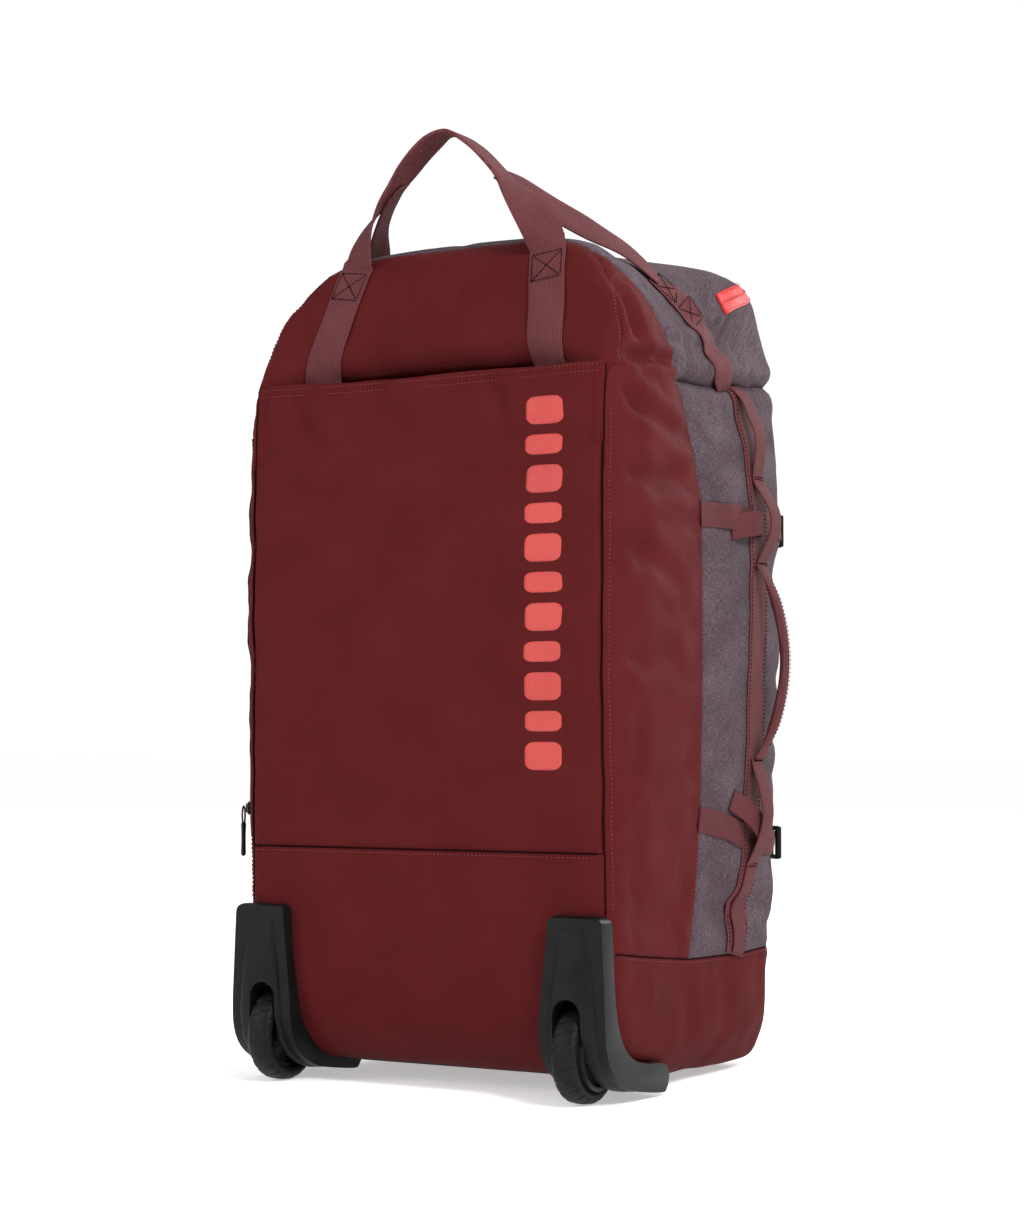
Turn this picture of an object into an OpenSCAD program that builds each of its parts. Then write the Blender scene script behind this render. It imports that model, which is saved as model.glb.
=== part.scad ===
// Rolling duffel bag with two wheels, a two-stage pull handle and a front lid.
// Millimetres. X runs across the bag, +Y points from the wheel side to the lid, Z is up.
// The origin lies on the floor, below the middle of the bag.

/* [Bag] */
// Half of the bag's width over the straight part of its sides
half_w = 208; // [190:1:225]
// Outer face of the wheel side
back_y = -176; // [-190:1:-170]
// Outer face of the lid side at mid height
front_y = 196; // [185:1:205]
// Height of the fabric's crown above the floor
crown_z = 830; // [800:1:850]
// Thickness of a padded fabric wall
wall = 3; // [2:0.5:4]
// Height of the seam round the base
boot_z = 127; // [110:1:135]
// Bottom edge of the handle sleeve
sleeve_z0 = 225; // [200:1:260]
// Top hem of the handle sleeve
sleeve_z1 = 681; // [660:1:690]

/* [Lid] */
// Half of the lid's width
lid_half_w = 165; // [150:1:170]
// Height of the lid's hinge line
lid_z0 = 130; // [128:1:140]
// Height of the lid's top edge
lid_z1 = 700; // [640:1:704]

/* [Wheels] */
// Radius of a tyre
wheel_r = 46; // [40:1:48]
// Width of a tyre
tyre_w = 26; // [20:1:27]
// Distance of a wheel's middle from the bag's middle
wheel_x = 173; // [168:1:175]
// Depth position of the axles
axle_y = -158; // [-162:1:-154]
// Radius of an axle
axle_r = 4; // [3:0.5:5]
// Height of the wheel housings above the floor
housing_z = 172; // [150:1:185]

/* [Pull handle] */
// Distance of each tube from the middle
tube_x = 75; // [60:1:85]
// Outer radius of the fixed tubes
tube_r = 10; // [9:0.5:10.5]
// Wall of a tube
tube_wall = 1.2; // [1:0.1:1.4]
// Radial play between two tube stages
stage_play = 0.3; // [0.2:0.05:0.4]
// Top of the stowed grip
grip_z = 674; // [660:1:676]

/* [Webbing] */
// Width of the load webbing
wide_web = 38; // [30:1:40]
// Width of the compression webbing
slim_web = 25; // [20:1:28]
// Thickness of one layer of webbing
web_t = 2; // [1.5:0.1:2.5]

/* [Hidden] */
far = 600;                    // longer than any part, for cutting prisms
base_z = 10;                  // underside of the bag
corner_back_r = 88;           // round of the bag's lower back edge
seam_y = 0;                   // red to grey seam on the sides
inner_wall_y = -149;          // back face of the main compartment
play = 0.3;                   // gap between a soft part and its neighbour
tube_y = back_y + wall + 12.5;
mid_r = tube_r - tube_wall - stage_play;
inner_r = mid_r - tube_wall - stage_play;
rod_r = 2.5;
lid_hinge_y = 188;
hub_r = wheel_r - 12;
bearing_r = 11;
bearing_w = 7;
well_r = wheel_r + 4;         // free space round the wheel
well_w = tyre_w + 4;
well_wall = 3;
pull_l = 34;
top_zip_z = 792;

// ---------- helpers ----------

// Points of an arc in a plane, as [u, v] pairs.
function arc(c, r, a0, a1, n = 6) =
    [for (i = [0:n]) let (a = a0 + (a1 - a0) * i / n) c + r * [cos(a), sin(a)]];

function unit(v) = v / norm(v);

// A point on the Catmull-Rom curve through p, at place k + u.
function curve_at(p, k, u) =
    let (n = len(p) - 1,
         a = p[max(k - 1, 0)], b = p[k], c = p[min(k + 1, n)], d = p[min(k + 2, n)])
    0.5 * (2 * b + (c - a) * u + (2 * a - 5 * b + 4 * c - d) * u * u
           + (3 * b - a - 3 * c + d) * u * u * u);

// The curve through p, with n steps between two points.
function smooth(p, n = 3) =
    concat([for (k = [0:len(p) - 2], i = [0:n - 1]) curve_at(p, k, i / n)], [p[len(p) - 1]]);

// A flat strap of width w and thickness t along the points p, with its width along the directions d.
module ribbon(p, d, w, t) {
    n = len(p) - 1;
    tangent = [for (i = [0:n]) unit(p[min(i + 1, n)] - p[max(i - 1, 0)])];
    rings = [for (i = [0:n])
        let (side = unit(d[i] - (d[i] * tangent[i]) * tangent[i]), up = cross(tangent[i], side))
        for (c = [[-1, -1], [1, -1], [1, 1], [-1, 1]])
            p[i] + side * c[0] * w / 2 + up * c[1] * t / 2];
    walls = [for (i = [0:n - 1], k = [0:3])
        let (a = 4 * i + k, b = 4 * i + (k + 1) % 4)
        for (f = [[a, a + 4, b], [b, a + 4, b + 4]]) f];
    ends = [[0, 1, 2], [0, 2, 3], [4 * n + 2, 4 * n + 1, 4 * n], [4 * n + 3, 4 * n + 2, 4 * n]];
    polyhedron(rings, concat(walls, ends), convexity = 8);
}

module for_side(side) {
    if (side > 0) children();
    else mirror([1, 0, 0]) children();
}

// ---------- outline of the stuffed bag, moved inwards by t ----------

// Seen from the side, as [y, z].
function side_outline(t) = concat(
    arc([back_y + corner_back_r, base_z + corner_back_r], corner_back_r - t, 180, 270, 8),
    arc([138, base_z + 42], 42 - t, 270, 350, 5),
    [[front_y - 10 - t, boot_z], [front_y + 2 - t, 640], [front_y - t, 712]],
    arc([front_y - 38, 772], 38 - t, 0, 82, 5),
    [[60, crown_z - 6 - t], [-20, crown_z - 2 - t], [-80, crown_z - 8 - t],
     [-112 + 0.5 * t, crown_z - 18 - t], [-136 + t, 750 - 0.3 * t],
     [inner_wall_y + t, sleeve_z1 + 3 - t], [back_y + t, sleeve_z1 - t]]
);

// Half of the outline seen from the front, as [x, z, normal x, normal z].
half_outline = [
    [half_w - 5, boot_z, 1, 0], [half_w, 200, 1, 0], [half_w, 660, 1, 0],
    [half_w - 3, 690, 0.98, 0.2], [half_w - 13, 722, 0.93, 0.37], [half_w - 27, 746, 0.8, 0.6],
    [half_w - 46, 768, 0.7, 0.71], [half_w - 68, 787, 0.62, 0.78], [half_w - 92, 803, 0.5, 0.87],
    [half_w - 122, 818, 0.3, 0.95], [half_w - 160, crown_z - 2, 0.1, 1], [0, crown_z, 0, 1]
];

function right_half(t) = concat(
    arc([half_w - 40, base_z + 32], 32 - t, 270, 360, 4),
    [for (p = half_outline) [p[0] - t * p[2], p[1] - t * p[3]]]
);

function front_outline(t) =
    let (r = right_half(t)) concat(r, [for (i = [len(r) - 2:-1:0]) [-r[i][0], r[i][1]]]);

// Seen from above, as [x, y].
function plan_outline(t) =
    let (b = 14, f = 40, w = half_w + 1, y1 = front_y + 4)
    concat(
        arc([w - b, back_y + b], b - t, 270, 360, 3),
        arc([w - f, y1 - f], f - t, 0, 90, 6),
        arc([f - w, y1 - f], f - t, 90, 180, 6),
        arc([b - w, back_y + b], b - t, 180, 270, 3)
    );

module envelope(t) {
    intersection() {
        translate([far / 2, 0, 0]) rotate([0, -90, 0]) rotate([0, 0, 90]) mirror([0, 1, 0])
            linear_extrude(far) polygon(side_outline(t));
        translate([0, far / 2, 0]) rotate([90, 0, 0]) linear_extrude(far) polygon(front_outline(t));
        linear_extrude(900) polygon(plan_outline(t));
    }
}

// A prism along X over points [y, z], on the +X half only.
module side_prism(points) {
    translate([far / 2, 0, 0]) rotate([0, -90, 0]) rotate([0, 0, 90]) mirror([0, 1, 0])
        linear_extrude(far / 2) polygon(points);
}

module box(low, high) {
    translate(low) cube(high - low);
}

// The part of a layer between two offsets of the outline that lies inside the children.
module layer(outer, inner) {
    difference() {
        intersection() {
            envelope(outer);
            children();
        }
        envelope(inner);
    }
}

// Space that the wheel well needs inside the bag.
module well_room(side, extra) {
    w = well_w + 2 * well_wall + 2 * extra;
    for_side(side) translate([wheel_x - w / 2, axle_y, wheel_r]) rotate([0, 90, 0])
        cylinder(r = well_r + well_wall + extra, h = w, $fn = 64);
}

module wells() {
    well_room(1, 0.5);
    well_room(-1, 0.5);
}

// ---------- fabric body ----------

module sleeve_panel() {
    color([0.38, 0.13, 0.14]) layer(0, wall)
        box([-far, back_y - 1, sleeve_z0], [far, back_y + 14, sleeve_z1 - wall - 0.2]);
}

// Screw places on a housing, as [x, z] on its upright leg.
upright_screws = [[wheel_x - 16, 150], [wheel_x + 14, 150]];
foot_screw = [wheel_x, -82];

module screw_holes(r) {
    for (side = [1, -1]) for_side(side) {
        for (p = upright_screws)
            translate([p[0], back_y - 9, p[1]]) rotate([-90, 0, 0]) cylinder(r = r, h = 15, $fn = 24);
        translate([foot_screw[0], foot_screw[1], base_z - 4]) cylinder(r = r, h = 12, $fn = 24);
    }
}

module lower_back_panel() {
    color([0.4, 0.12, 0.13]) difference() {
        layer(0, wall) box([-far, back_y - 1, base_z - 1], [far, back_y + 14, sleeve_z0]);
        wells();
        screw_holes(2.2);
    }
}

module inner_back_wall() {
    color([0.2, 0.2, 0.21]) difference() {
        box([-half_w + 13, inner_wall_y, 43], [half_w - 13, inner_wall_y + wall, sleeve_z1 - 1]);
        wells();
    }
}

yoke_side = [
    [inner_wall_y, sleeve_z1], [-127, sleeve_z1], [-92, 850], [inner_wall_y, 850]
];

module yoke_panel() {
    color([0.4, 0.12, 0.13]) layer(0, wall) side_and_mirror(yoke_side);
}

// A side prism over both halves.
module side_and_mirror(points) {
    side_prism(points);
    mirror([1, 0, 0]) side_prism(points);
}

// The red part of a side, behind the curved seam.
red_side = [
    [back_y + 14, boot_z], [seam_y, boot_z], [seam_y, 640], [-12, 690], [-30, 724],
    [-52, 766], [-84, 800], [-92, 850], [-127, sleeve_z1], [back_y + 14, sleeve_z1]
];

module red_gusset(side) {
    color([0.42, 0.12, 0.13]) difference() {
        layer(0, wall) for_side(side) intersection() {
            side_prism(red_side);
            box([60, -far, 0], [far, far, 900]);
        }
        box([-far, back_y - 1, sleeve_z1 - wall - 0.2], [far, inner_wall_y - 1, 900]);
        wells();
    }
}
module right_red_gusset() { red_gusset(1); }
module left_red_gusset() { red_gusset(-1); }

module lid_region(grow) {
    box([-lid_half_w - grow, 150, lid_z0 - grow], [lid_half_w + grow, far, lid_z1 + grow]);
}

module grey_gusset(side) {
    color([0.33, 0.29, 0.31]) difference() {
        layer(0, wall) for_side(side) intersection() {
            side_prism([[seam_y, boot_z], [far / 2, boot_z], [far / 2, 705], [-16, 705], [-12, 690], [seam_y, 640]]);
            box([2, -far, 0], [far, far, 900]);
        }
        lid_region(1);
    }
}
module right_grey_gusset() { grey_gusset(1); }
module left_grey_gusset() { grey_gusset(-1); }

module top_panel() {
    color([0.3, 0.27, 0.29]) difference() {
        layer(0, wall) box([-far, -120, 705], [far, far, 900]);
        side_and_mirror(yoke_side);
        for (side = [1, -1]) for_side(side) intersection() {
            side_prism(red_side);
            box([60, -far, 0], [far, far, 900]);
        }
    }
}

module base_boot() {
    color([0.4, 0.12, 0.13]) difference() {
        layer(0, wall) box([-far, back_y + 14, base_z - 1], [far, far, boot_z]);
        wells();
        screw_holes(2.2);
    }
}

module back_board() {
    color([0.1, 0.1, 0.1])
        box([-half_w + 26, inner_wall_y + wall, 112], [half_w - 26, inner_wall_y + wall + 2.5, 664]);
}

module base_board() {
    color([0.1, 0.1, 0.1])
        box([-half_w + 44, -84, base_z + wall + 0.2], [half_w - 44, 136, base_z + wall + 2.7]);
}

// Two low skids that carry the lid side of the base.
module front_feet() {
    color([0.08, 0.08, 0.08]) for (side = [1, -1]) for_side(side)
        translate([130, 118, 0]) {
            cylinder(r = 14, h = 2, $fn = 48);
            translate([0, 0, 1.5]) cylinder(r = 16, h = base_z - 1.5, $fn = 48);
        }
}

// ---------- wheels and their housings ----------

// Outer outline of a housing, seen from the side, as [y, z].
housing_back = back_y - 14;
housing_outline = concat(
    [[housing_back + 4, housing_z], [housing_back, housing_z - 6], [housing_back, 60]],
    arc([housing_back + 42, 54], 42, 180, 255, 6),
    [[-110, 6], [-72, 3], [-64, 10], [-62, 24], [-70, 31], [-104, 36]],
    arc([-104, 98], 62, 270, 180, 8),
    [[-166, housing_z - 6], [-170, housing_z]]
);

module housing(side) {
    inner_x = 142;
    outer_x = half_w - 3.5;
    color([0.07, 0.07, 0.07]) difference() {
        union() {
            difference() {
                for_side(side) translate([outer_x, 0, 0]) rotate([0, -90, 0]) rotate([0, 0, 90])
                    mirror([0, 1, 0]) linear_extrude(outer_x - inner_x) polygon(housing_outline);
                envelope(-0.4);
            }
            intersection() {
                well_room(side, 0);
                box([-far, housing_back, 14], [far, far, far]);
            }
        }
        // the wheel's own space, with an arched slot above it
        for_side(side) {
            translate([wheel_x - well_w / 2, axle_y, wheel_r]) rotate([0, 90, 0])
                cylinder(r = well_r, h = well_w, $fn = 64);
            box([wheel_x - well_w / 2, -far, -1], [wheel_x + well_w / 2, axle_y - 8, 84]);
            translate([wheel_x, axle_y - 8, 84]) rotate([90, 0, 0])
                cylinder(r = well_w / 2, h = 60, $fn = 48);
            box([wheel_x - well_w / 2, -far, -1], [wheel_x + well_w / 2, axle_y + 30, 12]);
            translate([wheel_x - 18, axle_y, wheel_r]) rotate([0, 90, 0])
                cylinder(r = axle_r, h = 36, $fn = 32);
        }
        screw_holes(2);
    }
}
module right_wheel_housing() { housing(1); }
module left_wheel_housing() { housing(-1); }

module housing_screws() {
    color([0.6, 0.6, 0.62]) for (side = [1, -1]) for_side(side) {
        for (p = upright_screws) translate([p[0], back_y - 8.5, p[1]]) rotate([-90, 0, 0]) {
            cylinder(r = 2, h = 12, $fn = 24);
            translate([0, 0, 11.8]) cylinder(r = 4, h = 2.5, $fn = 32);
        }
        translate([foot_screw[0], foot_screw[1], base_z - 3.5]) {
            cylinder(r = 2, h = 8.4, $fn = 24);
            translate([0, 0, 8.3]) cylinder(r = 4, h = 2.5, $fn = 32);
        }
    }
}

// Places the children on a wheel's axis, with +Z along +X and the origin at the wheel's middle.
module on_axle(side) {
    translate([side * wheel_x, axle_y, wheel_r]) rotate([0, 90, 0]) children();
}

module axle(side) {
    color([0.65, 0.65, 0.67]) on_axle(side) translate([0, 0, -17.8])
        cylinder(r = axle_r, h = 35.6, $fn = 32);
}
module right_axle() { axle(1); }
module left_axle() { axle(-1); }

module tyre(side) {
    h = tyre_w / 2;
    color([0.06, 0.06, 0.06]) on_axle(side) rotate_extrude($fn = 96)
        polygon(concat([[hub_r, -h + 2], [hub_r + 4, -h], [wheel_r - 7, -h]],
            arc([wheel_r - 7, 0], 7, -78, 78, 8) + [for (i = [0:8]) [0, (i - 4) / 4 * (h - 7.2)]],
            [[wheel_r - 7, h], [hub_r + 4, h], [hub_r, h - 2]]));
}
module right_tyre() { tyre(1); }
module left_tyre() { tyre(-1); }

module hub(side) {
    h = tyre_w / 2 - 2;
    color([0.2, 0.2, 0.21]) on_axle(side) {
        difference() {
            union() {
                difference() {
                    translate([0, 0, -h]) cylinder(r = hub_r, h = 2 * h, $fn = 96);
                    translate([0, 0, -h - 1]) cylinder(r = hub_r - 4, h = 2 * h + 2, $fn = 96);
                }
                translate([0, 0, -h]) cylinder(r = bearing_r + 3, h = 2 * h, $fn = 64);
                for (i = [0:4]) rotate([0, 0, 72 * i])
                    translate([bearing_r + 1, -3, -h + 3]) cube([hub_r - bearing_r - 3, 6, 2 * h - 6]);
            }
            translate([0, 0, -h - 1]) cylinder(r = bearing_r, h = bearing_w + 1, $fn = 64);
            translate([0, 0, h - bearing_w]) cylinder(r = bearing_r, h = bearing_w + 1, $fn = 64);
            translate([0, 0, -h]) cylinder(r = bearing_r - 2, h = 2 * h, $fn = 64);
        }
    }
}
module right_hub() { hub(1); }
module left_hub() { hub(-1); }

module bearings(side) {
    h = tyre_w / 2 - 2;
    color([0.7, 0.7, 0.72]) on_axle(side) for (z = [-h, h - bearing_w]) translate([0, 0, z])
        difference() {
            cylinder(r = bearing_r, h = bearing_w, $fn = 64);
            translate([0, 0, -1]) cylinder(r = axle_r + 0.05, h = bearing_w + 2, $fn = 64);
        }
}
module right_bearings() { bearings(1); }
module left_bearings() { bearings(-1); }

// ---------- pull handle ----------

foot_z = 92;
top_bracket_z = 586;
outer_top_z = 600;
collar_z = 608;
middle_top_z = 628;
grip_bottom_z = grip_z - 34;
channel_z = grip_z - 21.5;

module at_tubes() {
    for (x = [-tube_x, tube_x]) translate([x, tube_y, 0]) children();
}

module pipe(r, bore, z0, z1) {
    translate([0, 0, z0]) difference() {
        cylinder(r = r, h = z1 - z0, $fn = 48);
        translate([0, 0, -1]) cylinder(r = bore, h = z1 - z0 + 2, $fn = 48);
    }
}

module handle_foot_bracket() {
    color([0.09, 0.09, 0.09]) difference() {
        box([-tube_x - 18, tube_y - 11.5, foot_z], [tube_x + 18, inner_wall_y - play, foot_z + 26]);
        at_tubes() translate([0, 0, foot_z + 4]) cylinder(r = tube_r, h = 40, $fn = 48);
        for (x = [-30, 30]) box([x - 24, tube_y - 12, foot_z + 5], [x + 24, tube_y + 5, foot_z + 21]);
    }
}

module handle_top_bracket() {
    color([0.09, 0.09, 0.09]) difference() {
        box([-tube_x - 18, tube_y - 11.5, top_bracket_z], [tube_x + 18, inner_wall_y - play, 606]);
        at_tubes() {
            translate([0, 0, top_bracket_z - 1]) cylinder(r = tube_r, h = outer_top_z - top_bracket_z + 1, $fn = 48);
            cylinder(r = mid_r + 0.06, h = 700, $fn = 48);
        }
        for (x = [-30, 30]) box([x - 24, tube_y - 12, top_bracket_z + 4], [x + 24, tube_y + 5, 602]);
    }
}

module outer_tube(side) {
    color([0.55, 0.56, 0.58]) translate([side * tube_x, tube_y, 0])
        pipe(tube_r, tube_r - tube_wall, foot_z + 4, outer_top_z);
}
module right_outer_tube() { outer_tube(1); }
module left_outer_tube() { outer_tube(-1); }

module middle_tubes() {
    color([0.6, 0.61, 0.63]) at_tubes() pipe(mid_r, mid_r - tube_wall, foot_z + 12, middle_top_z);
}

module middle_collars() {
    color([0.09, 0.09, 0.09]) at_tubes() difference() {
        translate([0, 0, collar_z]) cylinder(r = tube_r + 0.5, h = middle_top_z + 4 - collar_z, $fn = 48);
        translate([0, 0, collar_z - 1]) cylinder(r = mid_r, h = middle_top_z + 1 - collar_z, $fn = 48);
        cylinder(r = inner_r + 0.06, h = 700, $fn = 48);
    }
}

module inner_tubes() {
    color([0.65, 0.66, 0.68]) at_tubes() pipe(inner_r, inner_r - tube_wall, foot_z + 20, channel_z);
}

button_half = 20;

module handle_grip() {
    half = tube_x + 13;
    color([0.06, 0.06, 0.06]) difference() {
        translate([0, tube_y + 9, 0]) rotate([90, 0, 0]) linear_extrude(18) polygon(concat(
            arc([half - 14, grip_z - 14], 14, 0, 90, 5),
            arc([14 - half, grip_z - 14], 14, 90, 180, 5),
            [[-half, grip_bottom_z], [-tube_x + 12, grip_bottom_z], [-tube_x + 16, grip_z - 25],
             [tube_x - 16, grip_z - 25], [tube_x - 12, grip_bottom_z], [half, grip_bottom_z]]));
        at_tubes() translate([0, 0, grip_bottom_z - 1]) cylinder(r = inner_r, h = channel_z - grip_bottom_z + 1, $fn = 48);
        box([-tube_x - 5, tube_y - 4, channel_z], [tube_x + 5, tube_y + 4, grip_z - 10]);
        box([-button_half - 0.3, tube_y - 4.8, grip_z - 16], [button_half + 0.3, tube_y + 4.8, grip_z + 1]);
    }
}

module release_button() {
    color([0.3, 0.3, 0.31])
        box([-button_half, tube_y - 4.5, grip_z - 11], [button_half, tube_y + 4.5, grip_z + 1.5]);
}

module push_rods() {
    color([0.7, 0.7, 0.7]) {
        box([-tube_x - 4, tube_y - 3, grip_z - 15], [tube_x + 4, tube_y + 3, grip_z - 11]);
        at_tubes() translate([0, 0, foot_z + 30]) cylinder(r = rod_r, h = grip_z - 15 - foot_z - 30, $fn = 24);
    }
}

// ---------- webbing ----------

web_red = [0.42, 0.22, 0.24];
across = [1, 0, 0];
along_y = [0, 1, 0];

// Right half of the front strap's route, from the sleeve hem to the top of the grip.
front_route = [
    [132, -153.5, 676], [124, -142.5, 730], [115, -131, 775], [110, -123, 800], [96, -127, 828],
    [76, -127, 852], [60, -125, 874], [34, -125, 900], [10, -125, 918], [0, -125, 922]
];
front_sides = [
    across, across, across, across, [0.85, 0.5, 0], [0.4, 0.9, 0], along_y, along_y, along_y, along_y
];

// Right rear strap's route, from the shoulder to the foot of the grip.
rear_route = [
    [131, 36, 799], [118, 17, 813], [100, -6, 832], [80, -55, 853], [68, -88, 866], [64, -101, 871]
];
rear_sides = [
    [-0.6, 0.66, 0.45], [-0.55, 0.62, 0.55], [-0.43, 0.55, 0.69], [-0.6, 0.5, 0.62],
    [-0.5, 0.7, 0.5], [-0.45, 0.8, 0.4]
];

function mirrored_x(v) = [-v[0], v[1], v[2]];

// The whole route, from the right end over the middle to the left end.
function whole(route) = concat(route, [for (i = [len(route) - 2:-1:0]) mirrored_x(route[i])]);

module front_grab_strap() {
    color(web_red) ribbon(smooth(whole(front_route), 2), smooth(whole(front_sides), 2), wide_web, web_t);
}

module rear_grab_strap() {
    color(web_red) for (side = [1, -1]) for_side(side)
        ribbon(smooth(rear_route, 3), smooth(rear_sides, 3), wide_web, web_t);
}

// Middle line of the side bands, as [y, z].
band_line = [[84, 128], [98, 240], [110, 360], [112, 560], [106, 650], [97, 700], [80, 742], [58, 775], [36, 800]];

module side_band(side) {
    n = len(band_line) - 1;
    normal = [for (i = [0:n]) let (d = unit(band_line[min(i + 1, n)] - band_line[max(i - 1, 0)])) [d[1], -d[0]]];
    color(web_red) layer(-0.3 - web_t, -0.3) for_side(side) side_prism(concat(
        [for (i = [0:n]) band_line[i] + normal[i] * wide_web / 2],
        [for (i = [n:-1:0]) band_line[i] - normal[i] * wide_web / 2]));
}
module right_side_band() { side_band(1); }
module left_side_band() { side_band(-1); }

tack_x = half_w + 4.5;        // middle of the upper webbing layer on the sides
loop_y = 112;
// Heights of the bar tacks that hold the upper webbing.
tacks = [204, 312, 508, 594];

// Route of a bow between two tacks, standing out by rise, as [x, z] from its foot.
function bow_route(z0, z1, rise) = smooth([
    [0, z0], [0.22 * rise, z0 + 0.09 * (z1 - z0)], [0.7 * rise, z0 + 0.26 * (z1 - z0)],
    [rise, (z0 + z1) / 2],
    [0.7 * rise, z1 - 0.26 * (z1 - z0)], [0.22 * rise, z1 - 0.09 * (z1 - z0)], [0, z1]
], 4);

// Outline of a strip of thickness t along points [x, z].
function strip(p, t) =
    let (n = len(p) - 1,
         out = [for (i = [0:n]) let (d = unit(p[min(i + 1, n)] - p[max(i - 1, 0)])) [d[1], -d[0]] * t / 2])
    concat([for (i = [0:n]) p[i] + out[i]], [for (i = [n:-1:0]) p[i] - out[i]]);

// A bow of webbing of width w and thickness t, whose middle lies y0 back and x0 out.
module bow(x0, z0, z1, rise, w, t) {
    translate([x0, loop_y + w / 2, 0]) rotate([90, 0, 0])
        linear_extrude(w) polygon(strip(bow_route(z0, z1, rise), t));
}

module daisy_loops(side) {
    color(web_red) for_side(side) {
        bow(tack_x, tacks[0] + 0.5, tacks[1] - 0.5, 19, slim_web, web_t);
        bow(tack_x, tacks[2] + 0.5, tacks[3] - 0.5, 19, slim_web, web_t);
    }
}
module right_daisy_loops() { daisy_loops(1); }
module left_daisy_loops() { daisy_loops(-1); }

// The handle narrows to its tacks, so that it can swing.
module haul_handle(side) {
    z0 = tacks[1] + 3;
    z1 = tacks[2] - 3;
    color(web_red) for_side(side) intersection() {
        bow(tack_x + 2.2, z0, z1, 31, 19, 5);
        side_prism([
            [loop_y - 2.5, z0 - 1], [loop_y + 2.5, z0 - 1], [loop_y + 2.5, z0 + 6], [loop_y + 10, z0 + 22],
            [loop_y + 10, z1 - 22], [loop_y + 2.5, z1 - 6], [loop_y + 2.5, z1 + 1],
            [loop_y - 2.5, z1 + 1], [loop_y - 2.5, z1 - 6], [loop_y - 10, z1 - 22],
            [loop_y - 10, z0 + 22], [loop_y - 2.5, z0 + 6]
        ]);
    }
}
module right_haul_handle() { haul_handle(1); }
module left_haul_handle() { haul_handle(-1); }

// Compression straps, as [y, z] of their middle lines: under the band, round the corner of the front.
upper_strap = [[seam_y + 1, 551], [90, 551], [188, 548]];
lower_strap = [[seam_y + 1, 254], [60, 243], [110, 230], [188, 226]];

module strap_layer(line) {
    h = slim_web / 2;
    layer(-4.6, -2.9) side_prism(concat(
        [for (p = line) p - [0, h]], [for (i = [len(line) - 1:-1:0]) line[i] + [0, h]]));
}

// Loose tail of a strap, folded over at its end.
module tail(start, end) {
    mid = (start + end) / 2;
    route = [start, mid + [1.5, 0, 1], end, end + [2.2, 2, 0], end + [2.4, 14, -2]];
    flow = unit(end - start);
    upright = unit(cross(flow, [1, 0, 0]));
    steps = smooth(route, 3);
    ribbon(steps, [for (p = steps) upright], slim_web, 1.6);
}

module compression_straps(side) {
    color(web_red) for_side(side) {
        strap_layer(upper_strap);
        strap_layer(lower_strap);
        tail([half_w + 8.5, 84, 547], [half_w + 16, 54, 543]);
        tail([half_w + 8.5, 84, 238], [half_w + 16, 58, 268]);
    }
}
module right_compression_straps() { compression_straps(1); }
module left_compression_straps() { compression_straps(-1); }

// A ladder-lock buckle: an open frame with two bars.
module ladder_buckle() {
    difference() {
        translate([-11, -17, -2.5]) cube([22, 34, 5]);
        for (x = [-6.8, 0.4]) translate([x, -13, -3]) cube([4.6, 26, 6]);
        translate([6.4, -13, -3]) cube([2.4, 26, 6]);
    }
}

module ladder_buckles(side) {
    color([0.07, 0.07, 0.07]) for_side(side) for (z = [548, 226])
        translate([half_w - 39, front_y - 36, z]) rotate([0, 0, 45]) translate([47.6, 0, 0])
            rotate([90, 0, 90]) ladder_buckle();
}
module right_ladder_buckles() { ladder_buckles(1); }
module left_ladder_buckles() { ladder_buckles(-1); }

// ---------- lid and zips ----------

module lid_panel() {
    color([0.31, 0.28, 0.3]) layer(0, wall) lid_region(0);
}

module lid_zip_tape() {
    color([0.1, 0.1, 0.1]) layer(-1.5, -0.2) difference() {
        lid_region(0.3);
        lid_region(-8);
        box([-far, 0, 0], [far, far, lid_z0 + 12]);
    }
}

module body_zip_tape() {
    color([0.1, 0.1, 0.1]) layer(-1.5, -0.2) difference() {
        lid_region(9);
        lid_region(0.7);
        box([-far, 0, 0], [far, far, boot_z + 1]);
    }
}

module lid_mesh_pocket() {
    color([0.15, 0.15, 0.15])
        box([-lid_half_w + 20, front_y - 17, 190], [lid_half_w - 20, front_y - 15.5, 560]);
}

// The lid's face leans by this much per millimetre of height.
lean = 12 / (640 - boot_z);
zip_x = lid_half_w + 0.5;
function face_y(z) = front_y - 10 + (z - boot_z) * lean;

module slider_block() {
    translate([0, 2.2, -7]) cube([9, 4, 14]);
    translate([3, 6, -4]) cube([3, 2.5, 8]);
}

// A cord loop with a moulded tab, hanging from its pivot at the origin.
module pull_tab() {
    translate([-1.2, -1.2, -14]) cube([2.4, 2.4, 12]);
    translate([-3.6, -2.2, -14 - pull_l]) cube([7.2, 4.4, pull_l]);
}

slider_z = 134;

// The two sliders start at the lower ends of the lid's zip, on the body's half of it.
module at_zip(side) {
    for_side(side) translate([zip_x + 0.6, face_y(slider_z), slider_z]) children();
}

module zip_slider(side) { color([0.12, 0.12, 0.12]) at_zip(side) slider_block(); }
module right_zip_slider() { zip_slider(1); }
module left_zip_slider() { zip_slider(-1); }

module zip_pull(side) { color([0.06, 0.06, 0.06]) at_zip(side) translate([4.5, 10.8, 0]) pull_tab(); }
module right_zip_pull() { zip_pull(1); }
module left_zip_pull() { zip_pull(-1); }

// Bright zip that wraps the top edge of the lid side.
module top_zip_tape() {
    color([0.8, 0.12, 0.12]) layer(-1.6, -0.3)
        side_and_mirror([[104, 762], [150, 780], [far / 2, 782], [far / 2, 804], [150, 803], [98, 784]]);
}

top_zip_y = front_y - 4.5;

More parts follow.
